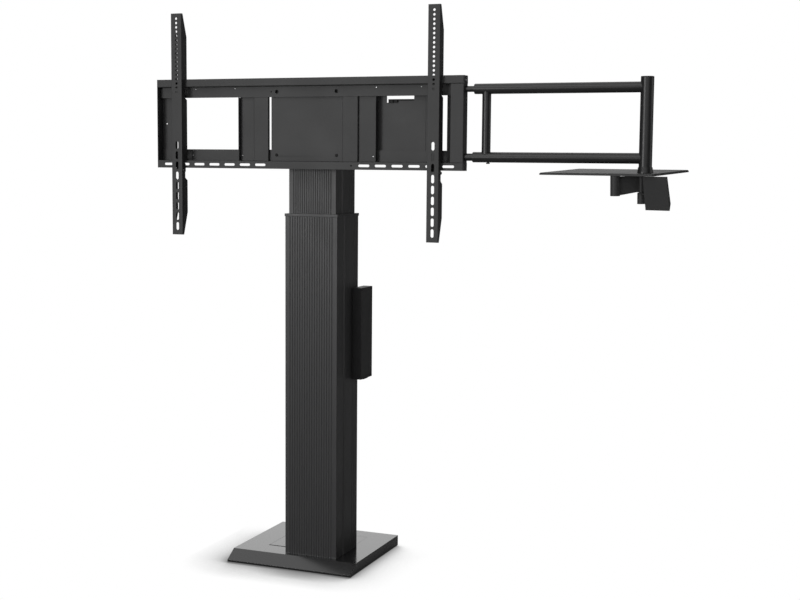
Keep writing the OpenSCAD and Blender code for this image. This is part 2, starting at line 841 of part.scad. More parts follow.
module upright(step, wall) {
    low = low_shelf + gap / 2;
    translate([0, 0, low]) linear_extrude(height = web_low - gap - low) upright_outline(step, wall);
    translate([0, 0, low]) linear_extrude(height = top_shelf - sheet - gap / 2 - low)
        upright_body(step, wall);
}

module left_upright() {
    color([0.23, 0.23, 0.24]) mirror([1, 0, 0]) upright(step_left, wall_left);
}

module right_upright() {
    color([0.23, 0.23, 0.24]) upright(step_right, wall_right);
}

module rail_screws() {
    // Small bright screws that hold the uprights and the ends to the rails' webs
    color([0.6, 0.6, 0.6]) {
        for (x = top_screws) {
            rod_y(rail_screw_r, fy0 + web_in - rail_screw_h, fy0 + web_in, x, top_shelf - 8);
        }
        rod_y(rail_screw_r, web_plane - rail_screw_h, web_plane, low_screw, low_shelf + 15);
        for (x = [-upright_out + 6, upright_out - 12]) {
            rod_y(rail_screw_r, plate_plane - rail_screw_h, plate_plane, x, low_shelf + 15);
        }
        rod_x(end_screw_r, fx, fx + 2, arm_y, end_screw_z);
    }
}

module device_panel() {
    // A shallow pan behind the right opening, with a notched cable window near its top
    x0 = panel_left;
    x1 = panel_right;
    z0 = low_web_top - 17;
    z1 = top_shelf - 6;
    rim = 14;
    wx = x0 + 41.6;
    wz = web_low - 9.7;
    color([0.28, 0.28, 0.29]) difference() {
        union() {
            slab([x0, end_plane, z0], [x1, fy1, z1]);
            slab([x0 + rim, end_plane, z0 + rim], [x1 - rim, fy1 + pan_depth, z1 - rim]);
        }
        slab([x0 + rim + sheet, end_plane - 1, z0 + rim + sheet],
            [x1 - rim - sheet, fy1 + pan_depth - sheet, z1 - rim - sheet]);
        slab([wx, end_plane + sheet + 1, wz], [wx + 81.4, fy1 + pan_depth + 1, z1 - rim - sheet - 4]);
        slab([wx, end_plane + sheet + 1, wz - 8], [wx + 5.4, fy1 + pan_depth + 1, wz + 1]);
    }
}

// Inner tube of the arm, fixed in the frame's right end
module inner_tube(d, z) {
    difference() {
        rod_x(d / 2, fx - sheet - anchor_len, inner_end, arm_y, z);
        rod_x(d / 2 - tube_wall, fx - sheet - anchor_len - 1, inner_end + 1, arm_y, z);
    }
}

module upper_inner_tube() {
    color([0.16, 0.16, 0.17]) inner_tube(inner_up_d, upper_z);
}

module lower_inner_tube() {
    color([0.16, 0.16, 0.17]) inner_tube(inner_low_d, lower_z);
}

module tube_anchors() {
    color([0.2, 0.2, 0.2]) {
        for (t = [[inner_up_d, upper_z], [inner_low_d, lower_z]]) {
            difference() {
                rod_x(anchor_r, fx - sheet - anchor_len, fx - sheet, arm_y, t[1]);
                rod_x(t[0] / 2 + 0.02, fx - sheet - anchor_len - 1, fx, arm_y, t[1]);
            }
        }
    }
}

// Side outline of a bracket's flange, in Y and Z: cut back where the frame's two lips pass
module bracket_side() {
    y0 = br_y0;
    y1 = br_y0 + br_flange;
    lip = br_y0 + br_d;
    hook = fy0 + sheet + gap;
    polygon([[y0, br_z], [y0 + br_tip, br_z], [y1, br_z + br_chamfer], [y1, frame_z - 36.5],
        [lip, frame_z - 29], [lip, low_shelf + 1.5], [y1, low_shelf + 1.5], [y1, web_low - 6.5],
        [lip, web_low], [lip, frame_top + gap], [hook, frame_top + gap],
        [hook, top_shelf + 4], [y1, top_shelf + 4],
        [y1, br_top - br_chamfer], [y0 + br_tip, br_top], [y0, br_top]]);
}

// Upright screen bracket with its middle at x
module bracket(x) {
    difference() {
        union() {
            for (s = [0, 1]) {
                edge = x - br_w / 2 + s * (br_w - sheet);
                across(edge, edge + sheet) bracket_side();
            }
            slab([x - br_w / 2, br_y0, br_z], [x + br_w / 2, br_y0 + sheet, br_top]);
        }
        for (k = [0 : hole_n - 1]) {
            rod_y(hole_d / 2, br_y0 - 1, br_y0 + sheet + 1, x, br_top - hole_first - k * hole_pitch);
        }
        for (k = [0 : slot_n - 1]) {
            slot_cut_z(x, br_z + slot_low + long_len / 2 + k * long_pitch, long_len, long_w,
                br_y0 - 1, br_y0 + sheet + 1);
        }
        rod_x(latch_screw_r + run, x - br_w / 2 - 1, x + br_w / 2 + 1, latch_y, latch_z);
    }
}

// Latch that hooks up behind the frame's lower lip
module latch(x) {
    half = br_w / 2 - sheet - gap;
    behind = fy0 + sheet + 0.5;
    difference() {
        union() {
            rod_x(latch_r, x - half, x + half, latch_y, latch_z);
            slab([x - half, latch_y, latch_z - latch_r], [x + half, behind + 4, latch_z + latch_r - 0.5]);
            slab([x - half, behind, latch_z - latch_r], [x + half, behind + 4, frame_z + 12]);
        }
        rod_x(latch_screw_r + run, x - half - 1, x + half + 1, latch_y, latch_z);
    }
}

// Screw that the latch turns on, with its head on the right side
module latch_screw(x) {
    rod_x(latch_screw_r, x - br_w / 2 - 1, x + br_w / 2 + 1, latch_y, latch_z);
    rod_x(latch_screw_r + 1.6, x + br_w / 2, x + br_w / 2 + 6, latch_y, latch_z);
}

left_x = -screen_w / 2 - br_shift;
right_x = screen_w / 2 - br_shift;

module left_bracket() {
    color([0.23, 0.23, 0.24]) bracket(left_x);
}

module right_bracket() {
    color([0.23, 0.23, 0.24]) bracket(right_x);
}

module left_latch() {
    color([0.12, 0.12, 0.12]) latch(left_x);
}

module right_latch() {
    color([0.12, 0.12, 0.12]) latch(right_x);
}

module left_latch_screw() {
    color([0.3, 0.3, 0.3]) latch_screw(left_x);
}

module right_latch_screw() {
    color([0.3, 0.3, 0.3]) latch_screw(right_x);
}

// Outer tube of the arm from x0, coped onto the post
module outer_tube(x0, z) {
    difference() {
        rod_x(tube_r, x0, post_cx, arm_y, z);
        rod_x(bore_r, x0 - 1, post_cx + 1, arm_y, z);
        rod_z(post_r + run, z - tube_d, z + tube_d, post_cx, arm_y);
    }
}

module upper_outer_tube() {
    color([0.19, 0.19, 0.2]) outer_tube(arm_x0 + upper_setback, upper_z);
}

module lower_outer_tube() {
    color([0.19, 0.19, 0.2]) difference() {
        outer_tube(arm_x0, lower_z);
        rod_z(3 + run, lower_z - tube_d, lower_z, lock_x, arm_y);
    }
}

module arm_bushes() {
    color([0.06, 0.06, 0.06]) {
        for (t = [[inner_up_d, upper_z, arm_x0 + upper_setback], [inner_low_d, lower_z, arm_x0]]) {
            difference() {
                rod_x(bore_r - 0.02, t[2] + 0.5, t[2] + bush_len, arm_y, t[1]);
                rod_x(t[0] / 2 + run, t[2], t[2] + bush_len + 1, arm_y, t[1]);
            }
        }
    }
}

module brace_tube() {
    color([0.19, 0.19, 0.2]) difference() {
        rod_z(brace_d / 2, lower_z, upper_z, brace_cx, arm_y);
        rod_z(brace_d / 2 - tube_wall, lower_z - 1, upper_z + 1, brace_cx, arm_y);
        rod_x(tube_r + run, brace_cx - brace_d, brace_cx + brace_d, arm_y, lower_z);
        rod_x(tube_r + run, brace_cx - brace_d, brace_cx + brace_d, arm_y, upper_z);
    }
}

module arm_post() {
    color([0.19, 0.19, 0.2]) difference() {
        rod_z(post_r, post_z0, post_top, post_cx, arm_y);
        rod_z(post_r - post_wall, post_z0 - 1, post_top + 1, post_cx, arm_y);
    }
}

module post_cap() {
    color([0.06, 0.06, 0.06]) {
        rod_z(post_r, post_top, post_top + 3, post_cx, arm_y);
        rod_z(post_r - post_wall - plug_gap, post_top - 10, post_top + 1, post_cx, arm_y);
    }
}

module post_plug() {
    color([0.5, 0.5, 0.5]) difference() {
        rod_z(post_r - post_wall - plug_gap, post_z0, post_z0 + 22, post_cx, arm_y);
        rod_z(bolt_r + 0.02, post_z0 - 1, post_z0 + 23, post_cx, arm_y);
    }
}

module swivel_bolt() {
    head = tray_top - tray_t / cos(tray_slope) - 8 * slope_rise - gap;
    color([0.55, 0.55, 0.56]) {
        rod_z(bolt_r, head - 1, post_z0 + 20, post_cx, arm_y);
        rod_z(8, head - 2.2, head, post_cx, arm_y);
    }
}

module arm_lock_screw() {
    color([0.4, 0.4, 0.4]) {
        rod_z(3, lower_z - tube_r - 2, lower_z - inner_low_d / 2 - gap, lock_x, arm_y);
        rod_z(5, lower_z - tube_r - 4, lower_z - tube_r - 0.4, lock_x, arm_y);
    }
}

module tray() {
    u0 = tray_right - tray_w;
    color([0.25, 0.25, 0.26]) difference() {
        tray_place() union() {
            // Sheet with its four edges folded down
            difference() {
                slab([u0, -tray_front, -tray_rim], [tray_right, tray_d - tray_front, 0]);
                slab([u0 + sheet, sheet - tray_front, -tray_rim - 1],
                    [tray_right - sheet, tray_d - tray_front - sheet, -tray_t]);
            }
            // Pin that the swing link turns on
            rod_z(6, -tray_rim - barrel_h + 6, -tray_t + 1, -barrel_u, barrel_v);
        }
        rod_z(bolt_r + run + 0.05, tray_top - 12, tray_top + 12, post_cx, arm_y);
    }
}

module tray_collar() {
    color([0.18, 0.18, 0.19]) difference() {
        // The collar flares from the post down to the tray
        union() {
            rod_z(collar_d / 2, tray_top - 3, tray_top + collar_foot, post_cx, arm_y);
            translate([post_cx, arm_y, tray_top + collar_foot])
                cylinder(r1 = collar_d / 2, r2 = post_r + collar_rim, h = collar_h - collar_foot);
        }
        rod_z(post_r + run, tray_top - 4, tray_top + collar_h + 1, post_cx, arm_y);
        tray_place() slab([-40, -40, -20], [40, 40, 0]);
    }
}

// Direction of the link, from the barrel to the holder's pivot
link_du = barrel_u - pivot_u;
link_dv = pivot_v - barrel_v;
link_span = sqrt(link_du * link_du + link_dv * link_dv);

module swing_link() {
    low = -tray_rim - gap - barrel_h;
    color([0.16, 0.16, 0.17]) tray_place() {
        difference() {
            union() {
                rod_z(barrel_r, low, -tray_rim - gap, -barrel_u, barrel_v);
                translate([-barrel_u, barrel_v, 0]) rotate([90, 0, atan2(link_dv, link_du)])
                    translate([0, 0, -link_t / 2]) linear_extrude(height = link_t)
                    polygon([[barrel_r - 2, low + 2], [barrel_r + 3, low + 2],
                        [link_span - 15, link_low + 1], [link_span - 6, link_low + 1],
                        [link_span - 6, link_top - 1], [barrel_r - 2, link_top - 1]]);
                rod_z(8, link_low, link_top, -pivot_u, pivot_v);
            }
            rod_z(6 + run, low + 5, 0, -barrel_u, barrel_v);
            rod_z(4 + run, link_low - 1, link_top + 1, -pivot_u, pivot_v);
        }
    }
}

// Side outline of the holder's flange, in the tray's V and W directions
module holder_side() {
    low = holder_top - holder_h;
    polygon([[holder_v, holder_top], [holder_v + 6, holder_top],
        [holder_v + holder_lean * 0.8 + 13, low + 18],
        [holder_v + holder_lean + 3, low], [holder_v + holder_lean, low]]);
}

// Side outline of the holder's leaning front sheet
module holder_sheet() {
    low = holder_top - holder_h;
    polygon([[holder_v, holder_top], [holder_v + sheet, holder_top],
        [holder_v + holder_lean + sheet, low],
        [holder_v + holder_lean, low]]);
}

module holder_bracket() {
    // Leaning plate with side flanges, a lug under the link and the pivot's pin and foot
    lug_top = link_low - gap;
    lug_v = holder_v + holder_lean * (holder_top - lug_top) / holder_h + 1;
    color([0.21, 0.21, 0.22]) tray_place() {
        across(holder_u, holder_u + holder_w) holder_sheet();
        across(holder_u, holder_u + sheet) holder_side();
        across(holder_u + holder_w - sheet, holder_u + holder_w) holder_side();
        translate([0, 0, lug_top - lug_t]) linear_extrude(height = lug_t)
            polygon([[holder_u, lug_v], [holder_u + 12, lug_v], [holder_u + 12, pivot_v + 8],
                [-pivot_u - 8, pivot_v + 8], [-pivot_u - 8, pivot_v - 8]]);
        rod_z(4, lug_top - 1, link_top, -pivot_u, pivot_v);
        rod_z(knob_r, knob_low, lug_top - 1, -pivot_u, pivot_v);
    }
}

// Control box limits
bx0 = col_w / 2 + gap;
bx1 = col_w / 2 + box_out;
by0 = box_front;
by1 = box_front + box_depth;
bz1 = box_z + box_len;
transformer_z = 60;
transformer_w = 40;
transformer_len = 50;
relay_z = 140;
relay_w = 12;
relay_len = 25;
inlet_y = by0 + box_depth / 2;
inlet_x = (bx0 + bx1) / 2;

module control_box() {
    color([0.12, 0.12, 0.12]) difference() {
        slab([bx0, by0, box_z], [bx1 - sheet, by1, bz1]);
        slab([bx0 + sheet, by0 + sheet, box_z + sheet], [bx1, by1 - sheet, bz1 - sheet]);
        slab([inlet_x - 10, inlet_y - 14, box_z - 1], [inlet_x + 10, inlet_y + 14, box_z + sheet + 1]);
    }
}

module control_cover() {
    color([0.12, 0.12, 0.12]) difference() {
        slab([bx1 - sheet, by0, box_z], [bx1, by1, bz1]);
        for (y = [by0 + 6, by1 - 6], z = [box_z + 6, bz1 - 6]) {
            rod_x(1.6, bx1 - sheet - 1, bx1 + 1, y, z);
        }
    }
}

module control_board() {
    // Circuit board on four stand-offs, with its transformer and relays
    color([0.1, 0.3, 0.15]) {
        slab([bx0 + sheet + 4, by0 + 8, box_z + 40], [bx0 + sheet + 5.6, by1 - 8, bz1 - 12]);
        for (y = [by0 + 13, by1 - 13], z = [box_z + 46, bz1 - 18]) {
            rod_x(3, bx0 + sheet, bx0 + sheet + 4.2, y, z);
        }
        slab([bx0 + sheet + 5.5, by0 + 16, box_z + transformer_z],
            [bx1 - sheet - 3, by0 + 16 + transformer_w, box_z + transformer_z + transformer_len]);
        for (k = [0 : 2]) {
            slab([bx0 + sheet + 5.5, by0 + 16 + k * 1.5 * relay_w, box_z + relay_z],
                [bx0 + sheet + 15, by0 + 16 + (1 + k * 1.5) * relay_w, box_z + relay_z + relay_len]);
        }
    }
}

module power_inlet() {
    color([0.05, 0.05, 0.05]) {
        difference() {
            union() {
                slab([inlet_x - 9.8, inlet_y - 13.8, box_z - 1],
                    [inlet_x + 9.8, inlet_y + 13.8, box_z + 22]);
                slab([inlet_x - 11.5, inlet_y - 17, box_z - 2.5], [inlet_x + 11.5, inlet_y + 17, box_z]);
            }
            slab([inlet_x - 8, inlet_y - 12, box_z - 4], [inlet_x + 8, inlet_y + 12, box_z + 16]);
        }
        for (k = [-1 : 1]) {
            slab([inlet_x - 2 + abs(k) * 3 - 2, inlet_y + k * 7 - 1, box_z],
                [inlet_x + abs(k) * 3, inlet_y + k * 7 + 1, box_z + 17]);
        }
    }
}

module box_screws() {
    color([0.4, 0.4, 0.4]) {
        for (y = [by0 + 6, by1 - 6], z = [box_z + 6, bz1 - 6]) {
            rod_x(1.5, bx1 - 12, bx1 + 0.5, y, z);
            rod_x(3, bx1, bx1 + 1.8, y, z);
        }
    }
}

base_cover();
access_panel();
base_plate();
base_pads();
column_flange();
flange_bolts();
outer_column();
column_trim();
outer_glides();
gear_case();
gear_case_lid();
drive_motor();
spindle_bearing();
control_box();
control_cover();
control_board();
power_inlet();
box_screws();
spindle();
spindle_gear();
spindle_stop();
motor_pinion();
inner_column();
inner_glides();
nut_bridge();
drive_nut();
column_cap();
head_bracket();
frame_bolts();
centre_plate();
top_rail();
bottom_rail();
left_end();
right_end();
left_upright();
right_upright();
rail_screws();
device_panel();
upper_inner_tube();
lower_inner_tube();
tube_anchors();
left_bracket();
left_latch();
left_latch_screw();
right_bracket();
right_latch();
right_latch_screw();
upper_outer_tube();
lower_outer_tube();
arm_bushes();
brace_tube();
arm_post();
post_cap();
post_plug();
swivel_bolt();
arm_lock_screw();
tray();
tray_collar();
swing_link();
holder_bracket();
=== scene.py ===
import json
import math
import bpy
from mathutils import Matrix, Vector

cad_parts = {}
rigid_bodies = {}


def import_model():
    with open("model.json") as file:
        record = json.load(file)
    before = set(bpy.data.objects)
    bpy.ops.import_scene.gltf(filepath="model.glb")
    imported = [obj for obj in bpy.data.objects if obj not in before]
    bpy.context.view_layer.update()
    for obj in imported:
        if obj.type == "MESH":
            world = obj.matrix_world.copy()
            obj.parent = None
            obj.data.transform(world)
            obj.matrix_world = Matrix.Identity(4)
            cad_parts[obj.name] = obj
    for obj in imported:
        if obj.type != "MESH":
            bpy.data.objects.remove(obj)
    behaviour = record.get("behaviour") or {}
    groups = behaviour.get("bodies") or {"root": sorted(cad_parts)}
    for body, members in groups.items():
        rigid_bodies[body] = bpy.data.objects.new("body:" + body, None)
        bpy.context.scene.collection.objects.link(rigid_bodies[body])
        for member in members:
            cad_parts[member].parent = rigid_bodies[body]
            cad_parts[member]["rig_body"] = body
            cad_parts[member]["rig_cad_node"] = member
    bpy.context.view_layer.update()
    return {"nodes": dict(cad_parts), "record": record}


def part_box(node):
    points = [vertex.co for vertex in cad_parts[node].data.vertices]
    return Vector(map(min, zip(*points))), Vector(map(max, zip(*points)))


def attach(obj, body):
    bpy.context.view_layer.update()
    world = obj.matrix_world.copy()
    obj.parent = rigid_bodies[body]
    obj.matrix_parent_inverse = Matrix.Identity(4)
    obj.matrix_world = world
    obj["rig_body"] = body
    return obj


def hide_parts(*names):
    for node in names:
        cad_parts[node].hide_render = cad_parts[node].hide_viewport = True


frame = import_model()
node_body = {name: body for body, names in frame["record"]["behaviour"]["bodies"].items() for name in names}

MM = 0.001
SHEET = 2 * MM
SHEET_EASE = 0.25 * MM
SEAT = 0.15 * MM
SMOOTH_ANGLE = math.radians(38)
LEVEL = Vector((1, 0, 0))
UPRIGHT = Vector((0, 0, 1))

# Places that the frame gives
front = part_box("top_rail")[0].y
frame_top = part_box("top_rail")[1].z
frame_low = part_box("bottom_rail")[0].z
rail_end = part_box("top_rail")[1].x
web_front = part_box("top_rail")[1].y - SHEET
web_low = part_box("top_rail")[0].z
low_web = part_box("bottom_rail")[1].y - SHEET / 2
low_web_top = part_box("bottom_rail")[1].z
frame_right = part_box("right_end")[1].x
frame_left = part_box("left_end")[0].x
frame_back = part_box("left_end")[1].y
low_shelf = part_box("centre_plate")[0].z - SEAT
top_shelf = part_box("centre_plate")[1].z + SEAT + SHEET
plate_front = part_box("centre_plate")[0].y
tube_low, tube_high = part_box("upper_inner_tube")
arm_y = (tube_low.y + tube_high.y) / 2
post_low, post_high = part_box("arm_post")
post = (post_low + post_high) / 2
post_r = (post_high.x - post_low.x) / 2

# Rails and ends
BEND = 1.5 * MM
RIGHT_FLANGE = 37.6 * MM
BACK_FLANGE = 58.2 * MM
LEFT_FLANGE = 45 * MM
PAST_WALL = 3 * MM
BOLT_UP_X = 93.4 * MM
BOLT_LOW_X = 94.5 * MM
BOLT_SHIFT = 3.5 * MM
BOLT_IN = 17.5 * MM
BOLT_HOLE = 4.1 * MM
WEB_HOLE = 5.5 * MM
SMALL_HOLE = 2.5 * MM
SMALL_SCREW_OUT = 18 * MM
LIP_SLOT = 34 * MM
LIP_SLOT_H = 7 * MM
LIP_SLOT_SHIFT = 1 * MM
LIP_SLOT_FIRST = 137 * MM
LIP_SLOT_PITCH = 50 * MM
LIP_SLOTS = 7
LIP_HOLE_IN = 12 * MM
LEFT_HOLE_IN = 14 * MM
LEFT_HOLE = 2.1 * MM
TUBE_HOLE_GAP = 0.1 * MM
web_end = frame_right - RIGHT_FLANGE - 2 * MM
bolt_up_z = top_shelf - BOLT_IN
bolt_low_z = low_shelf + BOLT_IN

# Uprights: name, side, and how far from the middle the step and the inner wall are
UPRIGHTS = (
    ("left_upright", -1, 169 * MM, 121.4 * MM),
    ("right_upright", 1, 159 * MM, 111 * MM),
)
UPRIGHT_OUT = 216 * MM
UPRIGHT_LIP = 14.5 * MM
UPRIGHT_GAP = 0.3 * MM

# Device panel; each clip has its start, width and drop in millimetres
PAN_RIM = 14 * MM
PAN_FOLD = 2 * MM
CUT_REACH = 6 * MM
WINDOW_IN = 41.6 * MM
WINDOW_W = 81.4 * MM
WINDOW_DROP = 9.7 * MM
WINDOW_TOP_IN = 4 * MM
WINDOW_LEG = 8 * MM
WINDOW_LEG_W = 5.4 * MM
EDGING_IN = 5.3 * MM
EDGING_HALF = 1.9 * MM
EDGING_DROP = 3 * MM
EDGING_RISE = 1.2 * MM
EDGING_SHORT = 6 * MM
EDGING_BEND = 0.6 * MM
EDGING_SHEET = 0.9 * MM
CLIPS = ((6.5, 13.5, 9), (23.3, 10, 8))
CLIP_OUT = 6 * MM
CLIP_BACK = 1.2 * MM
CLIP_RISE = 0.4 * MM
CLIP_FRAME = 1.4 * MM
CLIP_RECESS = 0.8 * MM

# Screws; outlines are (radius, height) points in millimetres
SEAT_BOLT_X = 45 * MM
SEAT_BOLT_IN = 4 * MM
TOP_SCREWS = (frame_left + 120.6 * MM, -228 * MM, 216 * MM, frame_right - 129.6 * MM)
TOP_SCREW_IN = 8 * MM
PLATE_SCREWS = (-210 * MM, 204 * MM)
LEFT_SCREW_IN = 103.6 * MM
LOW_SCREW_UP = 15 * MM
END_SCREW_IN = 13 * MM
BOX_SCREW_HEAD = 3 * MM
LATCH_HEAD = 5 * MM
KNOB_OUTLINE = ((0, 0), (3.6, 0), (4.5, 0.3), (5, 1), (5, 2.9), (4.6, 3.4), (3, 3.6))

# Arm and tray
RING_STEPS = 28
WELD_RADIUS = 0.9 * MM
TRAY_TURN = -12.64
TRAY_SLOPE = 2.6
TRAY_W = 330.2 * MM
TRAY_D = 233.2 * MM
TRAY_RIGHT = 43.8 * MM
TRAY_FRONT = 47.4 * MM
TRAY_SHEET = 3 * MM
TRAY_RIM = 6 * MM
TRAY_CORNER = 3 * MM
TRAY_FOLD = 1.2 * MM
SWIVEL_HOLE = 5.1 * MM
PIN_OUTLINE = ((0, -52.4), (5, -52.4), (6, -51.4), (6, -2.5), (0, -2.5))
BARREL_U = 68.4 * MM
BARREL_V = -34 * MM

# Carried-over pieces: the width of their rounded edges in millimetres
EASED = {
    "base_pads": 1.0, "control_box": 0.8, "control_cover": 0.8, "column_cap": 0.8, "head_bracket": 0.6,
    "centre_plate": 0.4, "swing_link": 0.6, "holder_bracket": 0.4, "upper_outer_tube": 0.6,
    "lower_outer_tube": 0.6, "brace_tube": 0.3, "arm_post": 0.5, "arm_bushes": 0.3, "left_latch": 0.5,
    "power_inlet": 0.3,
}
GROOVES = (("outer_column", -27 * MM), ("inner_column", -24 * MM))
GROOVE_BACK = 4 * MM
GROOVE_RAMP = 3.4 * MM
COLUMN_BEND = 0.9 * MM
COLUMN_SMOOTH = math.radians(15)
BRACKET_BEND = 1.2 * MM
PANEL_SLOT = 6 * MM
LATCH_RISE = 6 * MM

# Camera
CAMERA_PLACE = (1.6984, -3.6241, 1.2012)
CAMERA_YAW = 21.81
CAMERA_PITCH = -5.89
CAMERA_ROLL = 0.48
FOCAL_PIXELS = 1361.18
PICTURE_WIDTH = 800
SENSOR_WIDTH = 36
VIEW_REACH = 60

# Floor and light; each panel has its direction, where it starts and is full, and its strength
FLOOR_SIZE = 40
FLOOR_DROP = 0.4 * MM
FLOOR_BOUNCE = 0.3
SHADOW_REACH = 0.75
SHADOW_FADE = 0.6
SHADOW_WIDTH = 0.14
SHADOW_TILT = (0.3, 0.9, 1)
SHADOW_POWER = 4
SHADOW_DARK = 0.17
BASE_MIDDLE = (-0.05, 0.05)
AMBIENT = 0.06
WORLD_PANELS = (
    ((-0.40, 0.80, 0.45), 0.89, 0.97, 1.05),
    ((-0.25, 0.1, 1), 0.75, 0.98, 1.0),
    ((0.1, -1, 0.05), 0.7, 1.0, 1.0),
    ((0.93, 0.36, 0.1), 0.93, 0.98, 1.0),
    ((-0.35, -0.65, 0.68), 0.93, 0.99, 2.3),
)
LAMPS = (
    ("front_lamp", (-1.73, -4.11, 1.35), (0.1, 0, 1.2), 1.3, 1.1, 43),
)


# Materials
def new_material(name):
    material = bpy.data.materials.new(name)
    material.use_nodes = True
    tree = material.node_tree
    tree.nodes.clear()
    output = tree.nodes.new("ShaderNodeOutputMaterial")
    shader = tree.nodes.new("ShaderNodeBsdfPrincipled")
    tree.links.new(shader.outputs["BSDF"], output.inputs["Surface"])
    return material, tree, shader


def place_coordinates(tree, stretch=(1, 1, 1)):
    """Object coordinates, stretched along each direction."""
    place = tree.nodes.new("ShaderNodeTexCoord")
    mapping = tree.nodes.new("ShaderNodeMapping")
    mapping.inputs["Scale"].default_value = stretch
    tree.links.new(place.outputs["Object"], mapping.inputs["Vector"])
    return mapping.outputs["Vector"]


def noise(tree, where, scale, detail=3, roughness=0.55):
    texture = tree.nodes.new("ShaderNodeTexNoise")
    texture.inputs["Scale"].default_value = scale
    texture.inputs["Detail"].default_value = detail
    texture.inputs["Roughness"].default_value = roughness
    tree.links.new(where, texture.inputs["Vector"])
    return texture.outputs["Fac"]


def spread(tree, value, low, high, start=0.3, end=0.7):
    """Maps a texture's middle range to the range from low to high."""
    ramp = tree.nodes.new("ShaderNodeMapRange")
    ramp.inputs["From Min"].default_value = start
    ramp.inputs["From Max"].default_value = end
    ramp.inputs["To Min"].default_value = low
    ramp.inputs["To Max"].default_value = high
    tree.links.new(value, ramp.inputs["Value"])
    return ramp.outputs["Result"]


def shade_between(tree, value, dark, light):
    ramp = tree.nodes.new("ShaderNodeValToRGB")
    ramp.color_ramp.elements[0].position = 0.3
    ramp.color_ramp.elements[1].position = 0.7
    ramp.color_ramp.elements[0].color = (*dark, 1)
    ramp.color_ramp.elements[1].color = (*light, 1)
    tree.links.new(value, ramp.inputs["Fac"])
    return ramp.outputs["Color"]


def relief(tree, shader, height, strength, distance):
    bump = tree.nodes.new("ShaderNodeBump")
    bump.inputs["Strength"].default_value = strength
    bump.inputs["Distance"].default_value = distance
    tree.links.new(height, bump.inputs["Height"])
    tree.links.new(bump.outputs["Normal"], shader.inputs["Normal"])


def painted(name, dark, light, rough, grain=900, depth=0.00006, strength=0.35, coat=0.0, specular=0.5):
    """Powder coat or spray paint: a fine orange peel, cloudy gloss and slightly uneven colour."""
    material, tree, shader = new_material(name)
    where = place_coordinates(tree)
    cloud = noise(tree, where, 9, 4)
    peel = noise(tree, where, grain, 2, 0.4)
    tree.links.new(shade_between(tree, cloud, dark, light), shader.inputs["Base Color"])
    mixed = tree.nodes.new("ShaderNodeMix")
    mixed.inputs["Factor"].default_value = 0.4
    tree.links.new(cloud, mixed.inputs["A"])
    tree.links.new(peel, mixed.inputs["B"])
    tree.links.new(spread(tree, mixed.outputs["Result"], rough[0], rough[1]), shader.inputs["Roughness"])
    shader.inputs["Coat Weight"].default_value = coat
    shader.inputs["Coat Roughness"].default_value = 0.18
    shader.inputs["Specular IOR Level"].default_value = specular
    relief(tree, shader, peel, strength, depth)
    return material


def drawn_metal(name, dark, light, rough, along=(1, 1, 0.02), scale=700, metallic=1.0,
                strength=0.2, depth=0.00004):
    """Extruded or brushed metal: long fine lines in one direction."""
    material, tree, shader = new_material(name)
    lines = noise(tree, place_coordinates(tree, along), scale, 4, 0.6)
    cloud = noise(tree, place_coordinates(tree), 12, 3)
    tree.links.new(shade_between(tree, lines, dark, light), shader.inputs["Base Color"])
    mixed = tree.nodes.new("ShaderNodeMix")
    mixed.inputs["Factor"].default_value = 0.35
    tree.links.new(lines, mixed.inputs["A"])
    tree.links.new(cloud, mixed.inputs["B"])
    tree.links.new(spread(tree, mixed.outputs["Result"], rough[0], rough[1]), shader.inputs["Roughness"])
    shader.inputs["Metallic"].default_value = metallic
    relief(tree, shader, lines, strength, depth)
    return material


def moulded(name, dark, light, rough, grain=1600, depth=0.00005, strength=0.4):
    """Moulded plastic or rubber with a fine even grain."""
    material, tree, shader = new_material(name)
    where = place_coordinates(tree)
    fine = noise(tree, where, grain, 3, 0.6)
    cloud = noise(tree, where, 20, 3)
    tree.links.new(shade_between(tree, cloud, dark, light), shader.inputs["Base Color"])
    tree.links.new(spread(tree, fine, rough[0], rough[1]), shader.inputs["Roughness"])
    relief(tree, shader, fine, strength, depth)
    return material


MATERIALS = {
    "frame": painted("frame_powder_coat", (0.038, 0.038, 0.0385), (0.0425, 0.0425, 0.043),
                     (0.46, 0.56), specular=0.4),
    "tube_paint": painted("tube_gloss_paint", (0.015, 0.015, 0.0155), (0.019, 0.019, 0.0195),
                          (0.3, 0.38), grain=500),
    "base_paint": painted("base_gloss_paint", (0.012, 0.012, 0.0125), (0.015, 0.015, 0.0155),
                          (0.1, 0.16), grain=420, depth=0.00002, coat=0.5),
    "column_metal": drawn_metal("column_black_anodised", (0.034, 0.034, 0.035), (0.041, 0.041, 0.042),
                                (0.36, 0.5), metallic=0.0),
    "steel": drawn_metal("screw_steel", (0.42, 0.42, 0.43), (0.56, 0.56, 0.57),
                         (0.22, 0.38), along=(1, 1, 1), scale=900),
    "dark_steel": painted("blackened_steel", (0.009, 0.009, 0.0095), (0.013, 0.013, 0.0135),
                          (0.35, 0.5), grain=1400),
    "gear_bronze": drawn_metal("gear_bronze", (0.48, 0.32, 0.12), (0.62, 0.45, 0.2),
                               (0.25, 0.4), along=(1, 1, 1)),
    # Black made darker than any real black: it is partly the parts' own black and partly painted shade on the
    # frame bolts, the window's edging and its clips.
    "black_with_painted_shade": moulded("black_with_painted_shade", (0.003, 0.003, 0.003), (0.005, 0.005, 0.005), (0.6, 0.75)),
    "black_plastic": moulded("black_plastic", (0.014, 0.014, 0.015), (0.02, 0.02, 0.021), (0.38, 0.55)),
    "box_paint": painted("box_matt_paint", (0.016, 0.016, 0.017), (0.021, 0.021, 0.022),
                         (0.45, 0.6), grain=1200),
    "glide_plastic": moulded("glide_plastic", (0.62, 0.62, 0.59), (0.7, 0.7, 0.67), (0.4, 0.5)),
    "board": moulded("circuit_board", (0.01, 0.09, 0.035), (0.015, 0.12, 0.05), (0.3, 0.45)),
    "pad_rubber": moulded("pad_rubber", (0.012, 0.012, 0.012), (0.018, 0.018, 0.018), (0.7, 0.85)),
}
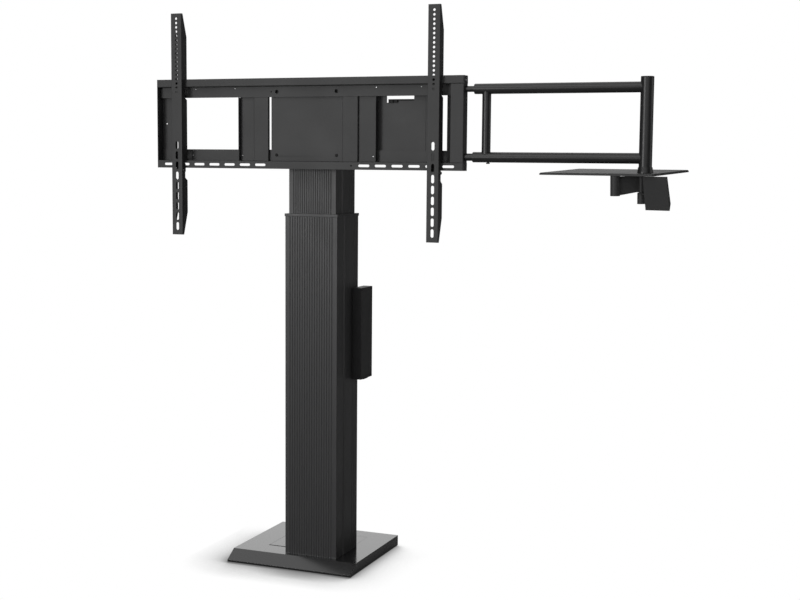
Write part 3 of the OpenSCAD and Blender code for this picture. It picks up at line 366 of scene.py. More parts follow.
slot_of_node = {part["node"]: part["material_slot"] for part in frame["record"]["subparts"]}


def give(piece, slot):
    piece.data.materials.clear()
    piece.data.materials.append(MATERIALS[slot])


for name, node in frame["nodes"].items():
    give(node, slot_of_node[name])


# Modelling helpers
def make_active(piece):
    bpy.ops.object.select_all(action="DESELECT")
    piece.select_set(True)
    bpy.context.view_layer.objects.active = piece


def start_edit(piece, kind, test=None):
    """Opens edit mode with what passes the test selected: test(item, middle) of vertices, edges or faces."""
    make_active(piece)
    bpy.ops.object.mode_set(mode="EDIT")
    bpy.ops.mesh.select_mode(type=kind)
    bpy.ops.mesh.select_all(action="DESELECT" if test else "SELECT")
    if test is None:
        return
    bpy.ops.object.mode_set(mode="OBJECT")
    mesh = piece.data
    corners = [v.co for v in mesh.vertices]
    items = {"VERT": mesh.vertices, "EDGE": mesh.edges, "FACE": mesh.polygons}[kind]
    for item in items:
        if kind == "VERT":
            middle = item.co
        else:
            middle = sum((corners[i] for i in item.vertices), Vector()) / len(item.vertices)
        item.select = bool(test(item, middle))
    bpy.ops.object.mode_set(mode="EDIT")


def end_edit():
    bpy.ops.object.mode_set(mode="OBJECT")
    return bpy.context.object


def apply_place(piece):
    make_active(piece)
    bpy.ops.object.transform_apply(location=True, rotation=True, scale=True)
    return piece


def apply_modifier(piece, kind, **settings):
    make_active(piece)
    modifier = piece.modifiers.new(kind.lower(), kind)
    for key, value in settings.items():
        setattr(modifier, key, value)
    bpy.ops.object.modifier_apply(modifier=modifier.name)
    return piece


def ease_edges(piece, width, segments=2, angle=50):
    """Small rounded edges, as punched, painted or machined ones have."""
    return apply_modifier(piece, "BEVEL", width=width, segments=segments, limit_method="ANGLE",
                          angle_limit=math.radians(angle), miter_outer="MITER_ARC")


def cut(piece, cutters):
    """Cuts holes: all the cutters are joined and taken out of the piece at once."""
    bpy.ops.object.select_all(action="DESELECT")
    for cutter in cutters:
        cutter.select_set(True)
    bpy.context.view_layer.objects.active = cutters[0]
    if len(cutters) > 1:
        bpy.ops.object.join()
    tool = bpy.context.object
    apply_modifier(piece, "BOOLEAN", operation="DIFFERENCE", solver="EXACT", object=tool)
    bpy.data.objects.remove(tool)
    return piece


def hole_cutter(x, y, z, radius, direction="Y", reach=8 * MM, sides=32):
    turn = {"X": (0, math.pi / 2, 0), "Y": (math.pi / 2, 0, 0), "Z": (0, 0, 0)}[direction]
    bpy.ops.object.select_all(action="DESELECT")
    bpy.ops.mesh.primitive_cylinder_add(vertices=sides, radius=radius, depth=reach, location=(x, y, z),
                                        rotation=turn)
    return apply_place(bpy.context.object)


def slot_cutter(x, y, z, length, width, along=LEVEL):
    """A round-ended cutter through a front face: a cylinder with its halves drawn apart."""
    tool = hole_cutter(x, y, z, width / 2)
    middle = Vector((x, y, z))
    reach = (length - width) / 2
    for side in (1, -1):
        start_edit(tool, "VERT", lambda v, co: (co - middle).dot(along) * side > -1e-7 * side)
        bpy.ops.transform.translate(value=along * side * reach)
        end_edit()
    return tool


def box_cutter(low, high):
    low, high = Vector(low), Vector(high)
    bpy.ops.object.select_all(action="DESELECT")
    bpy.ops.mesh.primitive_cube_add(size=1, location=(low + high) / 2, scale=high - low)
    return apply_place(bpy.context.object)


def line_of_points(points):
    """An object with one open line through the points, drawn by extruding a single vertex."""
    bpy.ops.object.select_all(action="DESELECT")
    bpy.ops.mesh.primitive_plane_add(size=MM, location=points[0])
    start_edit(bpy.context.object, "VERT")
    bpy.ops.mesh.merge(type="CENTER")
    for before, after in zip(points, points[1:]):
        bpy.ops.mesh.extrude_vertices_move(TRANSFORM_OT_translate={"value": Vector(after) - Vector(before)})
    end_edit()
    return apply_place(bpy.context.object)


def folded_sheet(points, along, lengths, bend, drop=None, thickness=SHEET):
    """A sheet bent along a line of points, drawn out in steps; drop(middle) removes faces that it lacks."""
    piece = line_of_points(points)
    start_edit(piece, "EDGE")
    for length in lengths:
        bpy.ops.mesh.extrude_edges_move(TRANSFORM_OT_translate={"value": along * length})
    end_edit()
    if drop:
        start_edit(piece, "FACE", lambda face, middle: drop(middle))
        bpy.ops.mesh.delete(type="FACE")
        end_edit()
    folds = [Vector(point) for point in points[1:-1]]
    uses = {}
    for face in piece.data.polygons:
        for key in face.edge_keys:
            uses[key] = uses.get(key, 0) + 1

    def is_fold(edge, middle):
        line = piece.data.vertices[edge.vertices[0]].co - piece.data.vertices[edge.vertices[1]].co
        gap = min((point - middle - along * (point - middle).dot(along)).length for point in folds)
        return gap < 1e-5 and abs(line.normalized().dot(along)) > 0.99 and uses.get(edge.key) == 2

    start_edit(piece, "EDGE", is_fold)
    bpy.ops.mesh.bevel(offset=bend, segments=4, affect="EDGES")
    end_edit()
    return apply_modifier(piece, "SOLIDIFY", thickness=thickness, offset=0, use_even_offset=True)


def turned(outline, steps=40):
    """A turned piece about the Z axis: the outline's (radius, height) points spun round once."""
    piece = line_of_points([(radius, 0, height) for radius, height in outline])
    start_edit(piece, "EDGE")
    bpy.ops.mesh.spin(steps=steps, angle=2 * math.pi, center=(0, 0, 0), axis=(0, 0, 1))
    bpy.ops.mesh.select_all(action="SELECT")
    bpy.ops.mesh.remove_doubles(threshold=1e-6)
    bpy.ops.mesh.normals_make_consistent(inside=False)
    return end_edit()


def placed_copy(piece, place, facing=(0, 0, 1)):
    """A copy with its own mesh, its Z axis turned to face a direction, standing at a place."""
    copy = piece.copy()
    copy.data = piece.data.copy()
    bpy.context.scene.collection.objects.link(copy)
    turn = Vector((0, 0, 1)).rotation_difference(Vector(facing))
    copy.matrix_world = Matrix.Translation(Vector(place)) @ turn.to_matrix().to_4x4()
    return apply_place(copy)


def placed_copy_of(model, place, facing=(0, 0, 1)):
    copy = placed_copy(model, place, facing)
    bpy.data.objects.remove(model)
    return copy


def join_pieces(pieces):
    bpy.ops.object.select_all(action="DESELECT")
    for piece in pieces:
        piece.select_set(True)
    bpy.context.view_layer.objects.active = pieces[0]
    bpy.ops.object.join()
    return bpy.context.object


def dress(piece, name, node, slot=None, replaced=(), finish=None, smooth=SMOOTH_ANGLE):
    """Names a finished piece, shades it, gives it its finish and makes it ride with a node's body."""
    piece.name = name
    piece.data.name = name
    apply_place(piece)
    start_edit(piece, "VERT")
    bpy.ops.mesh.vert_connect_concave()
    end_edit()
    bpy.ops.object.shade_smooth_by_angle(angle=smooth)
    apply_modifier(piece, "WEIGHTED_NORMAL", mode="FACE_AREA", weight=100, keep_sharp=True)
    slot = slot or slot_of_node[node]
    give(piece, finish or slot)
    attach(piece, node_body[node])
    if replaced:
        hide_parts(*replaced)
    return piece


def eased_copy(node, width, segments=2, angle=50, folds=None, bend=0.0, reshape=None, finish=None,
               smooth=SMOOTH_ANGLE):
    """A copy of a node with rounded edges; folds(a, b) picks the edges that get a bend's larger radius."""
    source = frame["nodes"][node]
    piece = source.copy()
    piece.data = source.data.copy()
    bpy.context.scene.collection.objects.link(piece)
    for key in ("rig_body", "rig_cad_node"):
        if key in piece:
            del piece[key]
    piece.parent = None
    piece.matrix_world = Matrix.Identity(4)
    make_active(piece)
    bpy.ops.mesh.customdata_custom_splitnormals_clear()
    start_edit(piece, "VERT")
    bpy.ops.mesh.remove_doubles(threshold=1e-5)
    bpy.ops.mesh.dissolve_limited(angle_limit=math.radians(1))
    bpy.ops.mesh.vert_connect_concave()
    end_edit()
    if reshape:
        reshape(piece)
    if folds:
        start_edit(piece, "EDGE",
                   lambda edge, middle: folds(*(piece.data.vertices[i].co for i in edge.vertices)))
        bpy.ops.mesh.bevel(offset=bend, segments=4, affect="EDGES")
        end_edit()
    ease_edges(piece, width, segments, angle)
    return dress(piece, node + "_finished", node, replaced=(node,), finish=finish, smooth=smooth)


# Frame
def model_rails():
    half = SHEET / 2
    lip = front + half
    shelf = top_shelf - half
    web = web_front + half
    line = [(-rail_end, lip, frame_top), (-rail_end, lip, shelf), (-rail_end, web, shelf),
            (-rail_end, web, web_low)]
    lengths = (rail_end + web_end, rail_end - web_end)
    rail = folded_sheet(line, LEVEL, lengths, BEND, lambda m: m.x > web_end and m.z < shelf - MM)
    holes = [hole_cutter(side * BOLT_UP_X, web, bolt_up_z, WEB_HOLE) for side in (-1, 1)]
    holes.append(hole_cutter(-BOLT_UP_X - SMALL_SCREW_OUT, web, bolt_up_z, SMALL_HOLE))
    dress(ease_edges(cut(rail, holes), SHEET_EASE), "top_rail_folded", "top_rail", replaced=("top_rail",))

    shelf = low_shelf - half
    line = [(-rail_end, lip, frame_low), (-rail_end, lip, shelf), (-rail_end, low_web, shelf),
            (-rail_end, low_web, low_web_top)]
    rail = folded_sheet(line, LEVEL, lengths, BEND, lambda m: m.x > web_end and m.z > shelf + MM)
    slot_z = (frame_low + low_shelf) / 2
    holes = [hole_cutter(side * BOLT_LOW_X - BOLT_SHIFT, low_web, bolt_low_z, BOLT_HOLE) for side in (-1, 1)]
    holes.append(hole_cutter(LIP_SLOT_FIRST + LIP_HOLE_IN - LIP_SLOT_SHIFT, lip, slot_z, SMALL_HOLE))
    for side in (-1, 1):
        for step in range(0 if side < 0 else 1, LIP_SLOTS):
            x = side * (LIP_SLOT_FIRST + step * LIP_SLOT_PITCH) - LIP_SLOT_SHIFT
            holes.append(slot_cutter(x, lip, slot_z, LIP_SLOT, LIP_SLOT_H))
    rail = ease_edges(cut(rail, holes), SHEET_EASE)
    dress(rail, "bottom_rail_folded", "bottom_rail", replaced=("bottom_rail",))


def press_back(piece, left):
    """Presses what the rounded edges push past a left face back onto it."""
    start_edit(piece, "VERT", lambda v, co: co.x < left)
    bpy.ops.transform.resize(value=(0, 1, 1), center_override=(left, 0, 0))
    end_edit()
    return piece


def model_ends():
    half = SHEET / 2
    back = frame_back - half
    face_low = low_shelf + SEAT
    face_top = top_shelf - SHEET - SEAT
    lengths = (face_low - frame_low, face_top - face_low, frame_top - face_top)
    side = frame_left + half
    line = [(side, front, frame_low), (side, back, frame_low), (frame_left + LEFT_FLANGE, back, frame_low)]
    end = folded_sheet(line, UPRIGHT, lengths, BEND,
                       lambda m: m.x > side + PAST_WALL and not face_low < m.z < face_top)
    step = (bolt_up_z - bolt_low_z) / 2
    holes = [hole_cutter(frame_left + LEFT_HOLE_IN, back, bolt_low_z + k * step, LEFT_HOLE) for k in range(3)]
    end = press_back(ease_edges(cut(end, holes), SHEET_EASE), frame_left)
    dress(end, "left_end_folded", "left_end", replaced=("left_end",))

    side = frame_right - half
    line = [(frame_right - RIGHT_FLANGE, front + half, frame_low), (side, front + half, frame_low),
            (side, back, frame_low), (frame_right - BACK_FLANGE, back, frame_low)]
    end = folded_sheet(line, UPRIGHT, lengths, BEND,
                       lambda m: m.x < side - PAST_WALL and not face_low < m.z < face_top)
    holes = []
    for tube in ("upper_inner_tube", "lower_inner_tube"):
        low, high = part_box(tube)
        radius = (high.z - low.z) / 2 + TUBE_HOLE_GAP
        holes.append(hole_cutter(side, arm_y, (low.z + high.z) / 2, radius, "X"))
    dress(ease_edges(cut(end, holes), SHEET_EASE), "right_end_folded", "right_end", replaced=("right_end",))


def model_upright(name, sign, step, wall):
    """A pressed upright: an outer lip, a flat web, a raised crown and an inner wall."""
    half = SHEET / 2
    web = plate_front + half
    crown = web_front + SHEET + UPRIGHT_GAP + half
    inner_back = plate_front + SHEET
    out = UPRIGHT_OUT - half
    lip_front = inner_back - UPRIGHT_LIP
    low = low_shelf + SEAT
    line = [(out, lip_front), (out, web), (step - half, web), (step - half, crown), (wall + half, crown),
            (wall + half, inner_back)]
    line = [(sign * x, y, low) for x, y in line]
    lip_top = web_low - UPRIGHT_GAP
    lengths = (lip_top - low, top_shelf - SHEET - SEAT - lip_top)
    piece = folded_sheet(line, UPRIGHT, lengths, BEND,
                         lambda m: m.z > lip_top and abs(m.x) > out - MM and m.y < web - MM)
    start_edit(piece, "FACE")
    bpy.ops.mesh.normals_make_consistent(inside=False)
    end_edit()
    dress(ease_edges(piece, SHEET_EASE), name + "_pressed", name, replaced=(name,))


def model_device_panel():
    """A pressed pan behind the right opening, its cable window, and the edging and clips on the sill."""
    low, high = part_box("device_panel")
    half = SHEET / 2
    back = frame_back - half
    depth = high.y - frame_back
    middle = (low + high) / 2
    bpy.ops.object.select_all(action="DESELECT")
    bpy.ops.mesh.primitive_plane_add(size=1, location=(middle.x, back, middle.z),
                                     rotation=(math.pi / 2, 0, 0))
    panel = bpy.context.object
    panel.scale = (high.x - low.x, high.z - low.z, 1)
    apply_place(panel)
    start_edit(panel, "FACE")
    bpy.ops.mesh.inset(thickness=PAN_RIM + half)
    bpy.ops.mesh.extrude_region_move(TRANSFORM_OT_translate={"value": (0, depth, 0)})
    end_edit()
    inner = low.x + PAN_RIM
    outer = high.x - PAN_RIM
    start_edit(panel, "EDGE",
               lambda edge, m: all(inner < panel.data.vertices[i].co.x < outer for i in edge.vertices))
    bpy.ops.mesh.bevel(offset=PAN_FOLD, segments=4, affect="EDGES")
    end_edit()
    apply_modifier(panel, "SOLIDIFY", thickness=SHEET, offset=0, use_even_offset=True)
    left = low.x + WINDOW_IN
    sill = web_low - WINDOW_DROP
    wall = high.y - half
    window_top = high.z - PAN_RIM - SHEET - WINDOW_TOP_IN
    window = box_cutter((left, wall - CUT_REACH, sill), (left + WINDOW_W, wall + CUT_REACH, window_top))
    notch = box_cutter((left, wall - CUT_REACH, sill - WINDOW_LEG),
                       (left + WINDOW_LEG_W, wall + CUT_REACH, sill + MM))
    cut(cut(panel, [window]), [notch])
    dress(ease_edges(panel, SHEET_EASE), "device_panel_pressed", "device_panel", replaced=("device_panel",))

    start = left + EDGING_IN
    line = [(start, wall - EDGING_HALF, sill - EDGING_DROP), (start, wall - EDGING_HALF, sill + EDGING_RISE),
            (start, wall + EDGING_HALF, sill + EDGING_RISE), (start, wall + EDGING_HALF, sill - EDGING_DROP)]
    edging = folded_sheet(line, LEVEL, (WINDOW_W - EDGING_SHORT,), EDGING_BEND, thickness=EDGING_SHEET)
    # The edging's near-black finish paints the shade along the window's sill.
    dress(edging, "window_edging", "device_panel", slot="black_plastic", finish="black_with_painted_shade")
    for number, (start, width, drop) in enumerate(CLIPS):
        clip = box_cutter((left + start * MM, wall - CLIP_OUT, sill - drop * MM),
                          (left + (start + width) * MM, wall - CLIP_BACK, sill + CLIP_RISE))
        start_edit(clip, "FACE", lambda face, m: face.normal.y < -0.9)
        bpy.ops.mesh.inset(thickness=CLIP_FRAME)
        bpy.ops.mesh.extrude_region_move(TRANSFORM_OT_translate={"value": (0, CLIP_RECESS, 0)})
        end_edit()
        name = "window_clip_%d" % (number + 1)
        # The clips' near-black finish is painted shade, darker than their black plastic.
        dress(ease_edges(clip, 0.5 * MM), name, "device_panel", slot="black_plastic", finish="black_with_painted_shade")


# Screws
def screw(head_radius, head_height, shank_radius, shank_length, recess):
    """A round-headed screw facing up, with a six-sided socket or a cross recess."""
    r, h = head_radius, head_height
    outline = [(0, -shank_length), (shank_radius * 0.8, -shank_length),
               (shank_radius, -shank_length + shank_radius * 0.3), (shank_radius, 0), (r, 0), (r, h * 0.35),
               (r * 0.94, h * 0.62), (r * 0.8, h * 0.85), (r * 0.6, h * 0.97), (0, h)]
    piece = turned(outline, 32)
    if recess == "hex":
        return cut(piece, [hole_cutter(0, 0, h, r * 0.46, "Z", h * 1.2, 6)])
    for wide, deep in ((0.55, 0.12), (0.12, 0.55)):
        cut(piece, [box_cutter((-r * wide, -r * deep, h * 0.4), (r * wide, r * deep, h * 1.5))])
    return piece


def place_screws(model, name, node, spots, facing):
    copies = [placed_copy(model, spot, facing) for spot in spots]
    bpy.data.objects.remove(model)
    return dress(join_pieces(copies), name, node, replaced=(node,))


def model_screws():
    """Every screw is modelled once and copied to each of its places."""
    low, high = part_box("frame_bolts")
    spots = [(side * BOLT_UP_X, plate_front, bolt_up_z) for side in (-1, 1)]
    spots += [(side * BOLT_LOW_X - BOLT_SHIFT, plate_front, bolt_low_z) for side in (-1, 1)]
    button = screw(head_radius=4.5 * MM, head_height=plate_front - low.y, shank_radius=4 * MM,
                   shank_length=14 * MM, recess="hex")
    copies = [placed_copy(button, spot, (0, -1, 0)) for spot in spots]
    seat_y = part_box("inner_column")[0].y - SEAT_BOLT_IN
    cap = screw(head_radius=7 * MM, head_height=5 * MM, shank_radius=4 * MM, shank_length=high.y - seat_y,
                recess="hex")
    for side in (-1, 1):
        for z in (bolt_low_z, bolt_up_z):
            copies.append(placed_copy(cap, (side * SEAT_BOLT_X, seat_y, z), (0, -1, 0)))
    bpy.data.objects.remove(button)
    bpy.data.objects.remove(cap)
    small = screw(head_radius=2.4 * MM, head_height=0.8 * MM, shank_radius=2.2 * MM, shank_length=1.5 * MM,
                  recess="hex")
    small_place = (-BOLT_UP_X - SMALL_SCREW_OUT, web_front + 0.5 * MM, bolt_up_z)
    copies.append(placed_copy(small, small_place, (0, -1, 0)))
    bpy.data.objects.remove(small)
    # The bolts' near-black finish is their black with painted shade added.
    dress(join_pieces(copies), "frame_bolts_turned", "frame_bolts", replaced=("frame_bolts",),
          finish="black_with_painted_shade")

    pan = screw(head_radius=2 * MM, head_height=1.2 * MM, shank_radius=1.2 * MM, shank_length=1 * MM,
                recess="cross")
    spots = [(x, web_front, top_shelf - TOP_SCREW_IN) for x in TOP_SCREWS]
    spots.append((frame_left + LEFT_SCREW_IN, low_web - SHEET / 2, low_shelf + LOW_SCREW_UP))
    spots += [(x, plate_front, low_shelf + LOW_SCREW_UP) for x in PLATE_SCREWS]
    copies = [placed_copy(pan, spot, (0, -1, 0)) for spot in spots]
    large = screw(head_radius=3 * MM, head_height=2 * MM, shank_radius=1.8 * MM, shank_length=1 * MM,
                  recess="cross")
    copies.append(placed_copy(large, (frame_right, arm_y, frame_top - END_SCREW_IN), (1, 0, 0)))
    bpy.data.objects.remove(pan)
    bpy.data.objects.remove(large)
    dress(join_pieces(copies), "rail_screws_turned", "rail_screws", replaced=("rail_screws",))

    low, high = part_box("box_screws")
    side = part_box("control_cover")[1].x
    spots = [(side, y, z) for y in (low.y + BOX_SCREW_HEAD, high.y - BOX_SCREW_HEAD)
             for z in (low.z + BOX_SCREW_HEAD, high.z - BOX_SCREW_HEAD)]
    cross = screw(head_radius=BOX_SCREW_HEAD, head_height=high.x - side, shank_radius=1.5 * MM,
                  shank_length=side - low.x, recess="cross")
    place_screws(cross, "box_screws_turned", "box_screws", spots, (1, 0, 0))

    for name in ("left_latch_screw", "right_latch_screw"):
        low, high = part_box(name)
        middle = (low + high) / 2
        head = (high.z - low.z) / 2
        bolt = screw(head_radius=head, head_height=LATCH_HEAD, shank_radius=3 * MM,
                     shank_length=high.x - low.x - LATCH_HEAD, recess="hex")
        spots = [(high.x - LATCH_HEAD, middle.y, middle.z)]
        place_screws(bolt, name + "_turned", name, spots, (1, 0, 0))

    low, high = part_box("arm_lock_screw")
    middle = (low + high) / 2
    top = (high.z - low.z) / MM
    outline = [*KNOB_OUTLINE, (3, top - 0.4), (2.6, top), (0, top)]
    knob = turned([(r * MM, z * MM) for r, z in outline], 36)
    place_screws(knob, "arm_lock_screw_turned", "arm_lock_screw", [(middle.x, middle.y, low.z)], (0, 0, 1))


# Arm and tray
def weld_bead(points, name, node):
    """A thin round bead along a closed line where two tubes meet."""
    bead = line_of_points(points + points[:1])
    start_edit(bead, "VERT")
    bpy.ops.mesh.remove_doubles(threshold=1e-6)
    end_edit()
    bpy.ops.object.convert(target="CURVE")
    bead = bpy.context.object
    bead.data.bevel_depth = WELD_RADIUS
    bead.data.bevel_resolution = 2
    bpy.ops.object.convert(target="MESH")
    return dress(bpy.context.object, name, node)


def model_arm():
    """The welds of the two outer tubes and the post's cap."""
    turns = [2 * math.pi * k / RING_STEPS for k in range(RING_STEPS)]
    brace_low, brace_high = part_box("brace_tube")
    brace = (brace_low + brace_high) / 2
    brace_r = (brace_high.x - brace_low.x) / 2
    for place, tube, out in (("upper", "upper_outer_tube", -1), ("lower", "lower_outer_tube", 1)):
        low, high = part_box(tube)
        z = (low.z + high.z) / 2
        r = (high.z - low.z) / 2
        ring = [(post.x - math.sqrt(post_r ** 2 - (r * math.cos(a)) ** 2), post.y + r * math.cos(a),
                 z + r * math.sin(a)) for a in turns]
        weld_bead(ring, place + "_post_weld", tube)
        ring = [(brace.x + brace_r * math.cos(a), brace.y + brace_r * math.sin(a),
                 z + out * math.sqrt(r ** 2 - (brace_r * math.sin(a)) ** 2)) for a in turns]
        weld_bead(ring, place + "_brace_weld", tube)

    low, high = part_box("post_cap")
    top = (high.z - post_high.z) / MM
    deep = (post_high.z - low.z) / MM
    r = post_r / MM
    outline = [(0, -deep), (r - 3.4, -deep), (r - 2.7, -deep + 1), (r - 2.7, 0), (r, 0), (r, top - 1.2),
               (r - 0.35, top - 0.5), (r - 1.2, top), (0, top)]
    cap = turned([(a * MM, b * MM) for a, b in outline], 48)
    place_screws(cap, "post_cap_turned", "post_cap", [(post.x, post.y, post_high.z)], (0, 0, 1))


def tray_matrix():
    """The tray's own frame: origin on the post's axis at the tray's top face."""
    turn = Matrix.Rotation(math.radians(TRAY_TURN), 4, "Z")
    turn = turn @ Matrix.Rotation(math.radians(TRAY_SLOPE), 4, "X")
    return Matrix.Translation((post.x, post.y, frame_low)) @ turn


def model_collar():
    """A turned ring on the tray round the post's foot."""
    low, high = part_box("tray_collar")
    bore = post_r / MM + 0.05
    foot = (high.x - low.x) / 2 / MM
    top = (high.z - frame_low) / MM
    outline = [(bore, -3), (foot, -3), (foot, 2.4), (foot - 0.25, 3.2), (bore + 1.6, top - 1.2),
               (bore + 1.3, top - 0.45), (bore + 0.9, top), (bore + 0.45, top), (bore + 0.4, top - 0.7),
               (bore, top - 0.7), (bore, -3)]
    collar = turned([(a * MM, b * MM) for a, b in outline], 56)
    collar = placed_copy_of(collar, (post.x, post.y, frame_low))
    reach = 40 * MM
    below = box_cutter((-reach, -reach, -reach / 2), (reach, reach, 0))
    below.matrix_world = tray_matrix()
    apply_place(below)
    dress(cut(collar, [below]), "tray_collar_turned", "tray_collar", replaced=("tray_collar",))


def model_tray():
    """A sheet with its edges folded down and rounded corners, and the pin under it."""
    half = TRAY_SHEET / 2
    u0, u1 = TRAY_RIGHT - TRAY_W + half, TRAY_RIGHT - half
    v0, v1 = half - TRAY_FRONT, TRAY_D - TRAY_FRONT - half
    bpy.ops.object.select_all(action="DESELECT")
    bpy.ops.mesh.primitive_plane_add(size=1, location=((u0 + u1) / 2, (v0 + v1) / 2, -half))
    tray = bpy.context.object
    tray.scale = (u1 - u0, v1 - v0, 1)
    apply_place(tray)
    start_edit(tray, "EDGE")
    bpy.ops.mesh.extrude_edges_move(TRANSFORM_OT_translate={"value": (0, 0, half - TRAY_RIM)})
    end_edit()
    start_edit(tray, "EDGE", lambda edge, m: abs(m.z + TRAY_RIM / 2) < half)
    bpy.ops.mesh.bevel(offset=TRAY_CORNER, segments=5, affect="EDGES")
    end_edit()

    def is_fold(edge, middle):
        inside = u0 + TRAY_SHEET < middle.x < u1 - TRAY_SHEET and v0 + TRAY_SHEET < middle.y < v1 - TRAY_SHEET
        return middle.z > -half - 1e-6 and not inside

    start_edit(tray, "EDGE", is_fold)
    bpy.ops.mesh.bevel(offset=TRAY_FOLD, segments=3, affect="EDGES")
    end_edit()
    apply_modifier(tray, "SOLIDIFY", thickness=TRAY_SHEET, offset=0, use_even_offset=True)
    low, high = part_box("swivel_bolt")
    tray.matrix_world = tray_matrix()
    apply_place(tray)
    middle = (low + high) / 2
    cut(tray, [hole_cutter(middle.x, middle.y, middle.z, SWIVEL_HOLE, "Z", 60 * MM)])
    pin = turned([(a * MM, b * MM) for a, b in PIN_OUTLINE], 32)
    pin.matrix_world = tray_matrix() @ Matrix.Translation((-BARREL_U, BARREL_V, 0))
    apply_place(pin)
    dress(join_pieces([tray, pin]), "tray_folded", "tray", replaced=("tray",))


# Edges of the carried-over pieces
def near(value, *places):
    return any(abs(value - place) < 0.05 * MM for place in places)


def upright_corners(node):
    """Tests for the four outer upright edges of a node's box."""
    low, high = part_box(node)

    def test(a, b):
        on_corner = all(near(p.x, low.x, high.x) and near(p.y, low.y, high.y) for p in (a, b))
        return on_corner and abs(a.z - b.z) > 5 * MM
    return test


def bracket_corners(node):
    """Tests for the two front upright edges of a node's box."""
    low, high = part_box(node)

    def test(a, b):
        return all(near(p.x, low.x, high.x) and near(p.y, low.y) for p in (a, b))
    return test


def slope_groove(piece, node, back):
    """Draws the back edge of the groove in both side faces backward, so that its wall is a shallow ramp."""
    low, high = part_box(node)
    start_edit(piece, "VERT", lambda v, co: near(co.x, low.x, high.x) and near(co.y, back))
    bpy.ops.transform.translate(value=(0, GROOVE_RAMP, 0))
    end_edit()


def open_panel(piece):
    """Draws the access panel's front edge back, which leaves a slot to lift it by."""
    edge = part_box("access_panel")[0].y
    start_edit(piece, "VERT", lambda v, co: near(co.y, edge))
    bpy.ops.transform.translate(value=(0, PANEL_SLOT, 0))
    end_edit()


def raise_latch(piece):
    """Draws the latch's upper edge up behind the lip."""
    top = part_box("right_latch")[1].z
    start_edit(piece, "VERT", lambda v, co: near(co.z, top))
    bpy.ops.transform.translate(value=(0, 0, LATCH_RISE))
    end_edit()


def ease_nodes():
    for node, width in EASED.items():
        eased_copy(node, width * MM)
    eased_copy("column_trim", 0.7 * MM, finish="column_metal")
    eased_copy("access_panel", 0.5 * MM, reshape=open_panel)
    eased_copy("right_latch", 0.5 * MM, reshape=raise_latch)
    eased_copy("base_cover", 0.8 * MM, segments=3, angle=18)
    for node, groove in GROOVES:
        eased_copy(node, 0.4 * MM, angle=75, folds=upright_corners(node), bend=COLUMN_BEND,
                   reshape=lambda piece: slope_groove(piece, node, groove + GROOVE_BACK),
                   smooth=COLUMN_SMOOTH)
    for node in ("left_bracket", "right_bracket"):
        eased_copy(node, SHEET_EASE, folds=bracket_corners(node), bend=BRACKET_BEND)


# Stage
def add_camera():
    """The camera stands where the photograph was taken from."""
    yaw, pitch, roll = (math.radians(v) for v in (CAMERA_YAW, CAMERA_PITCH, CAMERA_ROLL))
    forward = Vector((-math.sin(yaw) * math.cos(pitch), math.cos(yaw) * math.cos(pitch), math.sin(pitch)))
    level = Vector((math.cos(yaw), math.sin(yaw), 0))
    upright = level.cross(forward)
    right = level * math.cos(roll) + upright * math.sin(roll)
    up = upright * math.cos(roll) - level * math.sin(roll)
    bpy.ops.object.camera_add(location=CAMERA_PLACE)
    camera = bpy.context.object
    camera.name = "view_camera"
    turn = Matrix((right, up, -forward)).transposed().to_4x4()
    camera.matrix_world = Matrix.Translation(Vector(CAMERA_PLACE)) @ turn
    camera.data.sensor_width = SENSOR_WIDTH
    camera.data.lens = FOCAL_PIXELS / PICTURE_WIDTH * camera.data.sensor_width
    camera.data.clip_end = VIEW_REACH
    bpy.context.scene.camera = camera


def math_node(tree, operation, first, second):
    """A Math node on two sockets or numbers."""
    node = tree.nodes.new("ShaderNodeMath")
    node.operation = operation
    for socket, value in zip(node.inputs, (first, second)):
        if isinstance(value, (int, float)):
            socket.default_value = value
        else:
            tree.links.new(value, socket)
    return node.outputs["Value"]


def smooth_range(tree, value, start, end, low, high):
    ramp = tree.nodes.new("ShaderNodeMapRange")
    ramp.interpolation_type = "SMOOTHSTEP"
    for key, number in (("From Min", start), ("From Max", end), ("To Min", low), ("To Max", high)):
        ramp.inputs[key].default_value = number
    tree.links.new(value, ramp.inputs["Value"])
    return ramp.outputs["Result"]


def mixed_shader(tree, factor, first, second):
    mix = tree.nodes.new("ShaderNodeMixShader")
    tree.links.new(factor, mix.inputs["Fac"])
    tree.links.new(first, mix.inputs[1])
    tree.links.new(second, mix.inputs[2])
    return mix.outputs["Shader"]


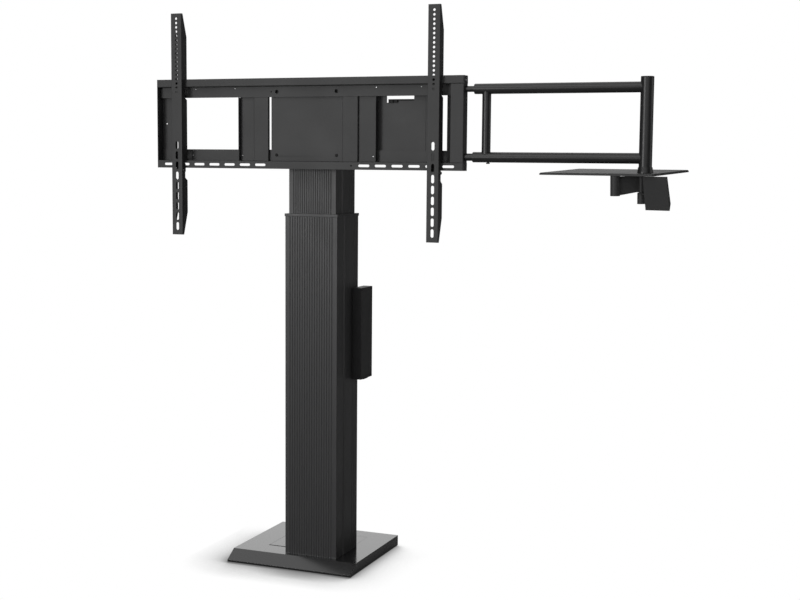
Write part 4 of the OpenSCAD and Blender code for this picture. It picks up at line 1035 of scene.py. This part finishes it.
def add_floor():
    """A floor that the camera sees white, with the object's soft shadow near its base."""
    bpy.ops.mesh.primitive_plane_add(size=FLOOR_SIZE, location=(0, 0, -FLOOR_DROP))
    floor = bpy.context.object
    floor.name = "studio_floor"
    material = bpy.data.materials.new("studio_floor")
    material.use_nodes = True
    tree = material.node_tree
    tree.nodes.clear()
    output = tree.nodes.new("ShaderNodeOutputMaterial")

    def diffuse(level):
        shader = tree.nodes.new("ShaderNodeBsdfDiffuse")
        shader.inputs["Color"].default_value = (level, level, level, 1)
        return shader.outputs["BSDF"]

    def glow(level):
        shader = tree.nodes.new("ShaderNodeEmission")
        shader.inputs["Strength"].default_value = level
        return shader.outputs["Emission"]

    near_things = tree.nodes.new("ShaderNodeAmbientOcclusion")
    near_things.samples = 24
    near_things.inputs["Distance"].default_value = SHADOW_WIDTH
    tilted = tree.nodes.new("ShaderNodeCombineXYZ")
    for socket, value in zip(tilted.inputs, Vector(SHADOW_TILT).normalized()):
        socket.default_value = value
    tree.links.new(tilted.outputs["Vector"], near_things.inputs["Normal"])
    soft = math_node(tree, "POWER", near_things.outputs["AO"], SHADOW_POWER)
    level = math_node(tree, "MULTIPLY_ADD", soft, 1 - SHADOW_DARK)
    level.node.inputs[2].default_value = SHADOW_DARK
    lit = tree.nodes.new("ShaderNodeEmission")
    tree.links.new(level, lit.inputs["Strength"])
    place = tree.nodes.new("ShaderNodeTexCoord")
    from_base = tree.nodes.new("ShaderNodeVectorMath")
    from_base.operation = "DISTANCE"
    from_base.inputs[1].default_value = (*BASE_MIDDLE, 0)
    tree.links.new(place.outputs["Object"], from_base.inputs[0])
    far = smooth_range(tree, from_base.outputs["Value"], SHADOW_REACH * SHADOW_FADE, SHADOW_REACH, 0, 1)
    seen = mixed_shader(tree, far, lit.outputs["Emission"], glow(1.0))
    path = tree.nodes.new("ShaderNodeLightPath")
    shown = mixed_shader(tree, path.outputs["Is Camera Ray"], diffuse(FLOOR_BOUNCE), seen)
    tree.links.new(shown, output.inputs["Surface"])
    floor.data.materials.append(material)


def add_world():
    """White where the camera looks, and soft panels in a dim studio for the glossy surfaces to mirror."""
    world = bpy.data.worlds.new("studio")
    bpy.context.scene.world = world
    world.use_nodes = True
    tree = world.node_tree
    tree.nodes.clear()
    output = tree.nodes.new("ShaderNodeOutputWorld")
    place = tree.nodes.new("ShaderNodeTexCoord")

    def panel(direction, start, end, strength):
        """Brightness that grows smoothly towards one direction."""
        toward = tree.nodes.new("ShaderNodeVectorMath")
        toward.operation = "DOT_PRODUCT"
        toward.inputs[1].default_value = Vector(direction).normalized()
        tree.links.new(place.outputs["Generated"], toward.inputs[0])
        return smooth_range(tree, toward.outputs["Value"], start, end, 0, strength)

    level = None
    for direction, start, end, strength in WORLD_PANELS:
        part = panel(direction, start, end, strength)
        level = part if level is None else math_node(tree, "ADD", level, part)
    level = math_node(tree, "ADD", level, AMBIENT)
    around = tree.nodes.new("ShaderNodeBackground")
    around.inputs["Color"].default_value = (1, 1, 1, 1)
    tree.links.new(level, around.inputs["Strength"])
    shown = tree.nodes.new("ShaderNodeBackground")
    shown.inputs["Color"].default_value = (1, 1, 1, 1)
    shown.inputs["Strength"].default_value = 1.0
    path = tree.nodes.new("ShaderNodeLightPath")
    direct = math_node(tree, "MAXIMUM", path.outputs["Is Camera Ray"], path.outputs["Is Transmission Ray"])
    shader = mixed_shader(tree, direct, around.outputs["Background"], shown.outputs["Background"])
    tree.links.new(shader, output.inputs["Surface"])


def add_lamps():
    for name, place, aim, width, height, power in LAMPS:
        bpy.ops.object.light_add(type="AREA", location=place)
        lamp = bpy.context.object
        lamp.name = name
        lamp.data.shape = "RECTANGLE"
        lamp.data.size = width
        lamp.data.size_y = height
        lamp.data.energy = power
        lamp.rotation_euler = (Vector(aim) - Vector(place)).to_track_quat("-Z", "Y").to_euler()


model_rails()
model_ends()
for name, sign, step, wall in UPRIGHTS:
    model_upright(name, sign, step, wall)
model_device_panel()
model_screws()
model_arm()
model_collar()
model_tray()
ease_nodes()

add_camera()
add_floor()
add_world()
add_lamps()
bpy.context.scene.view_settings.view_transform = "Standard"
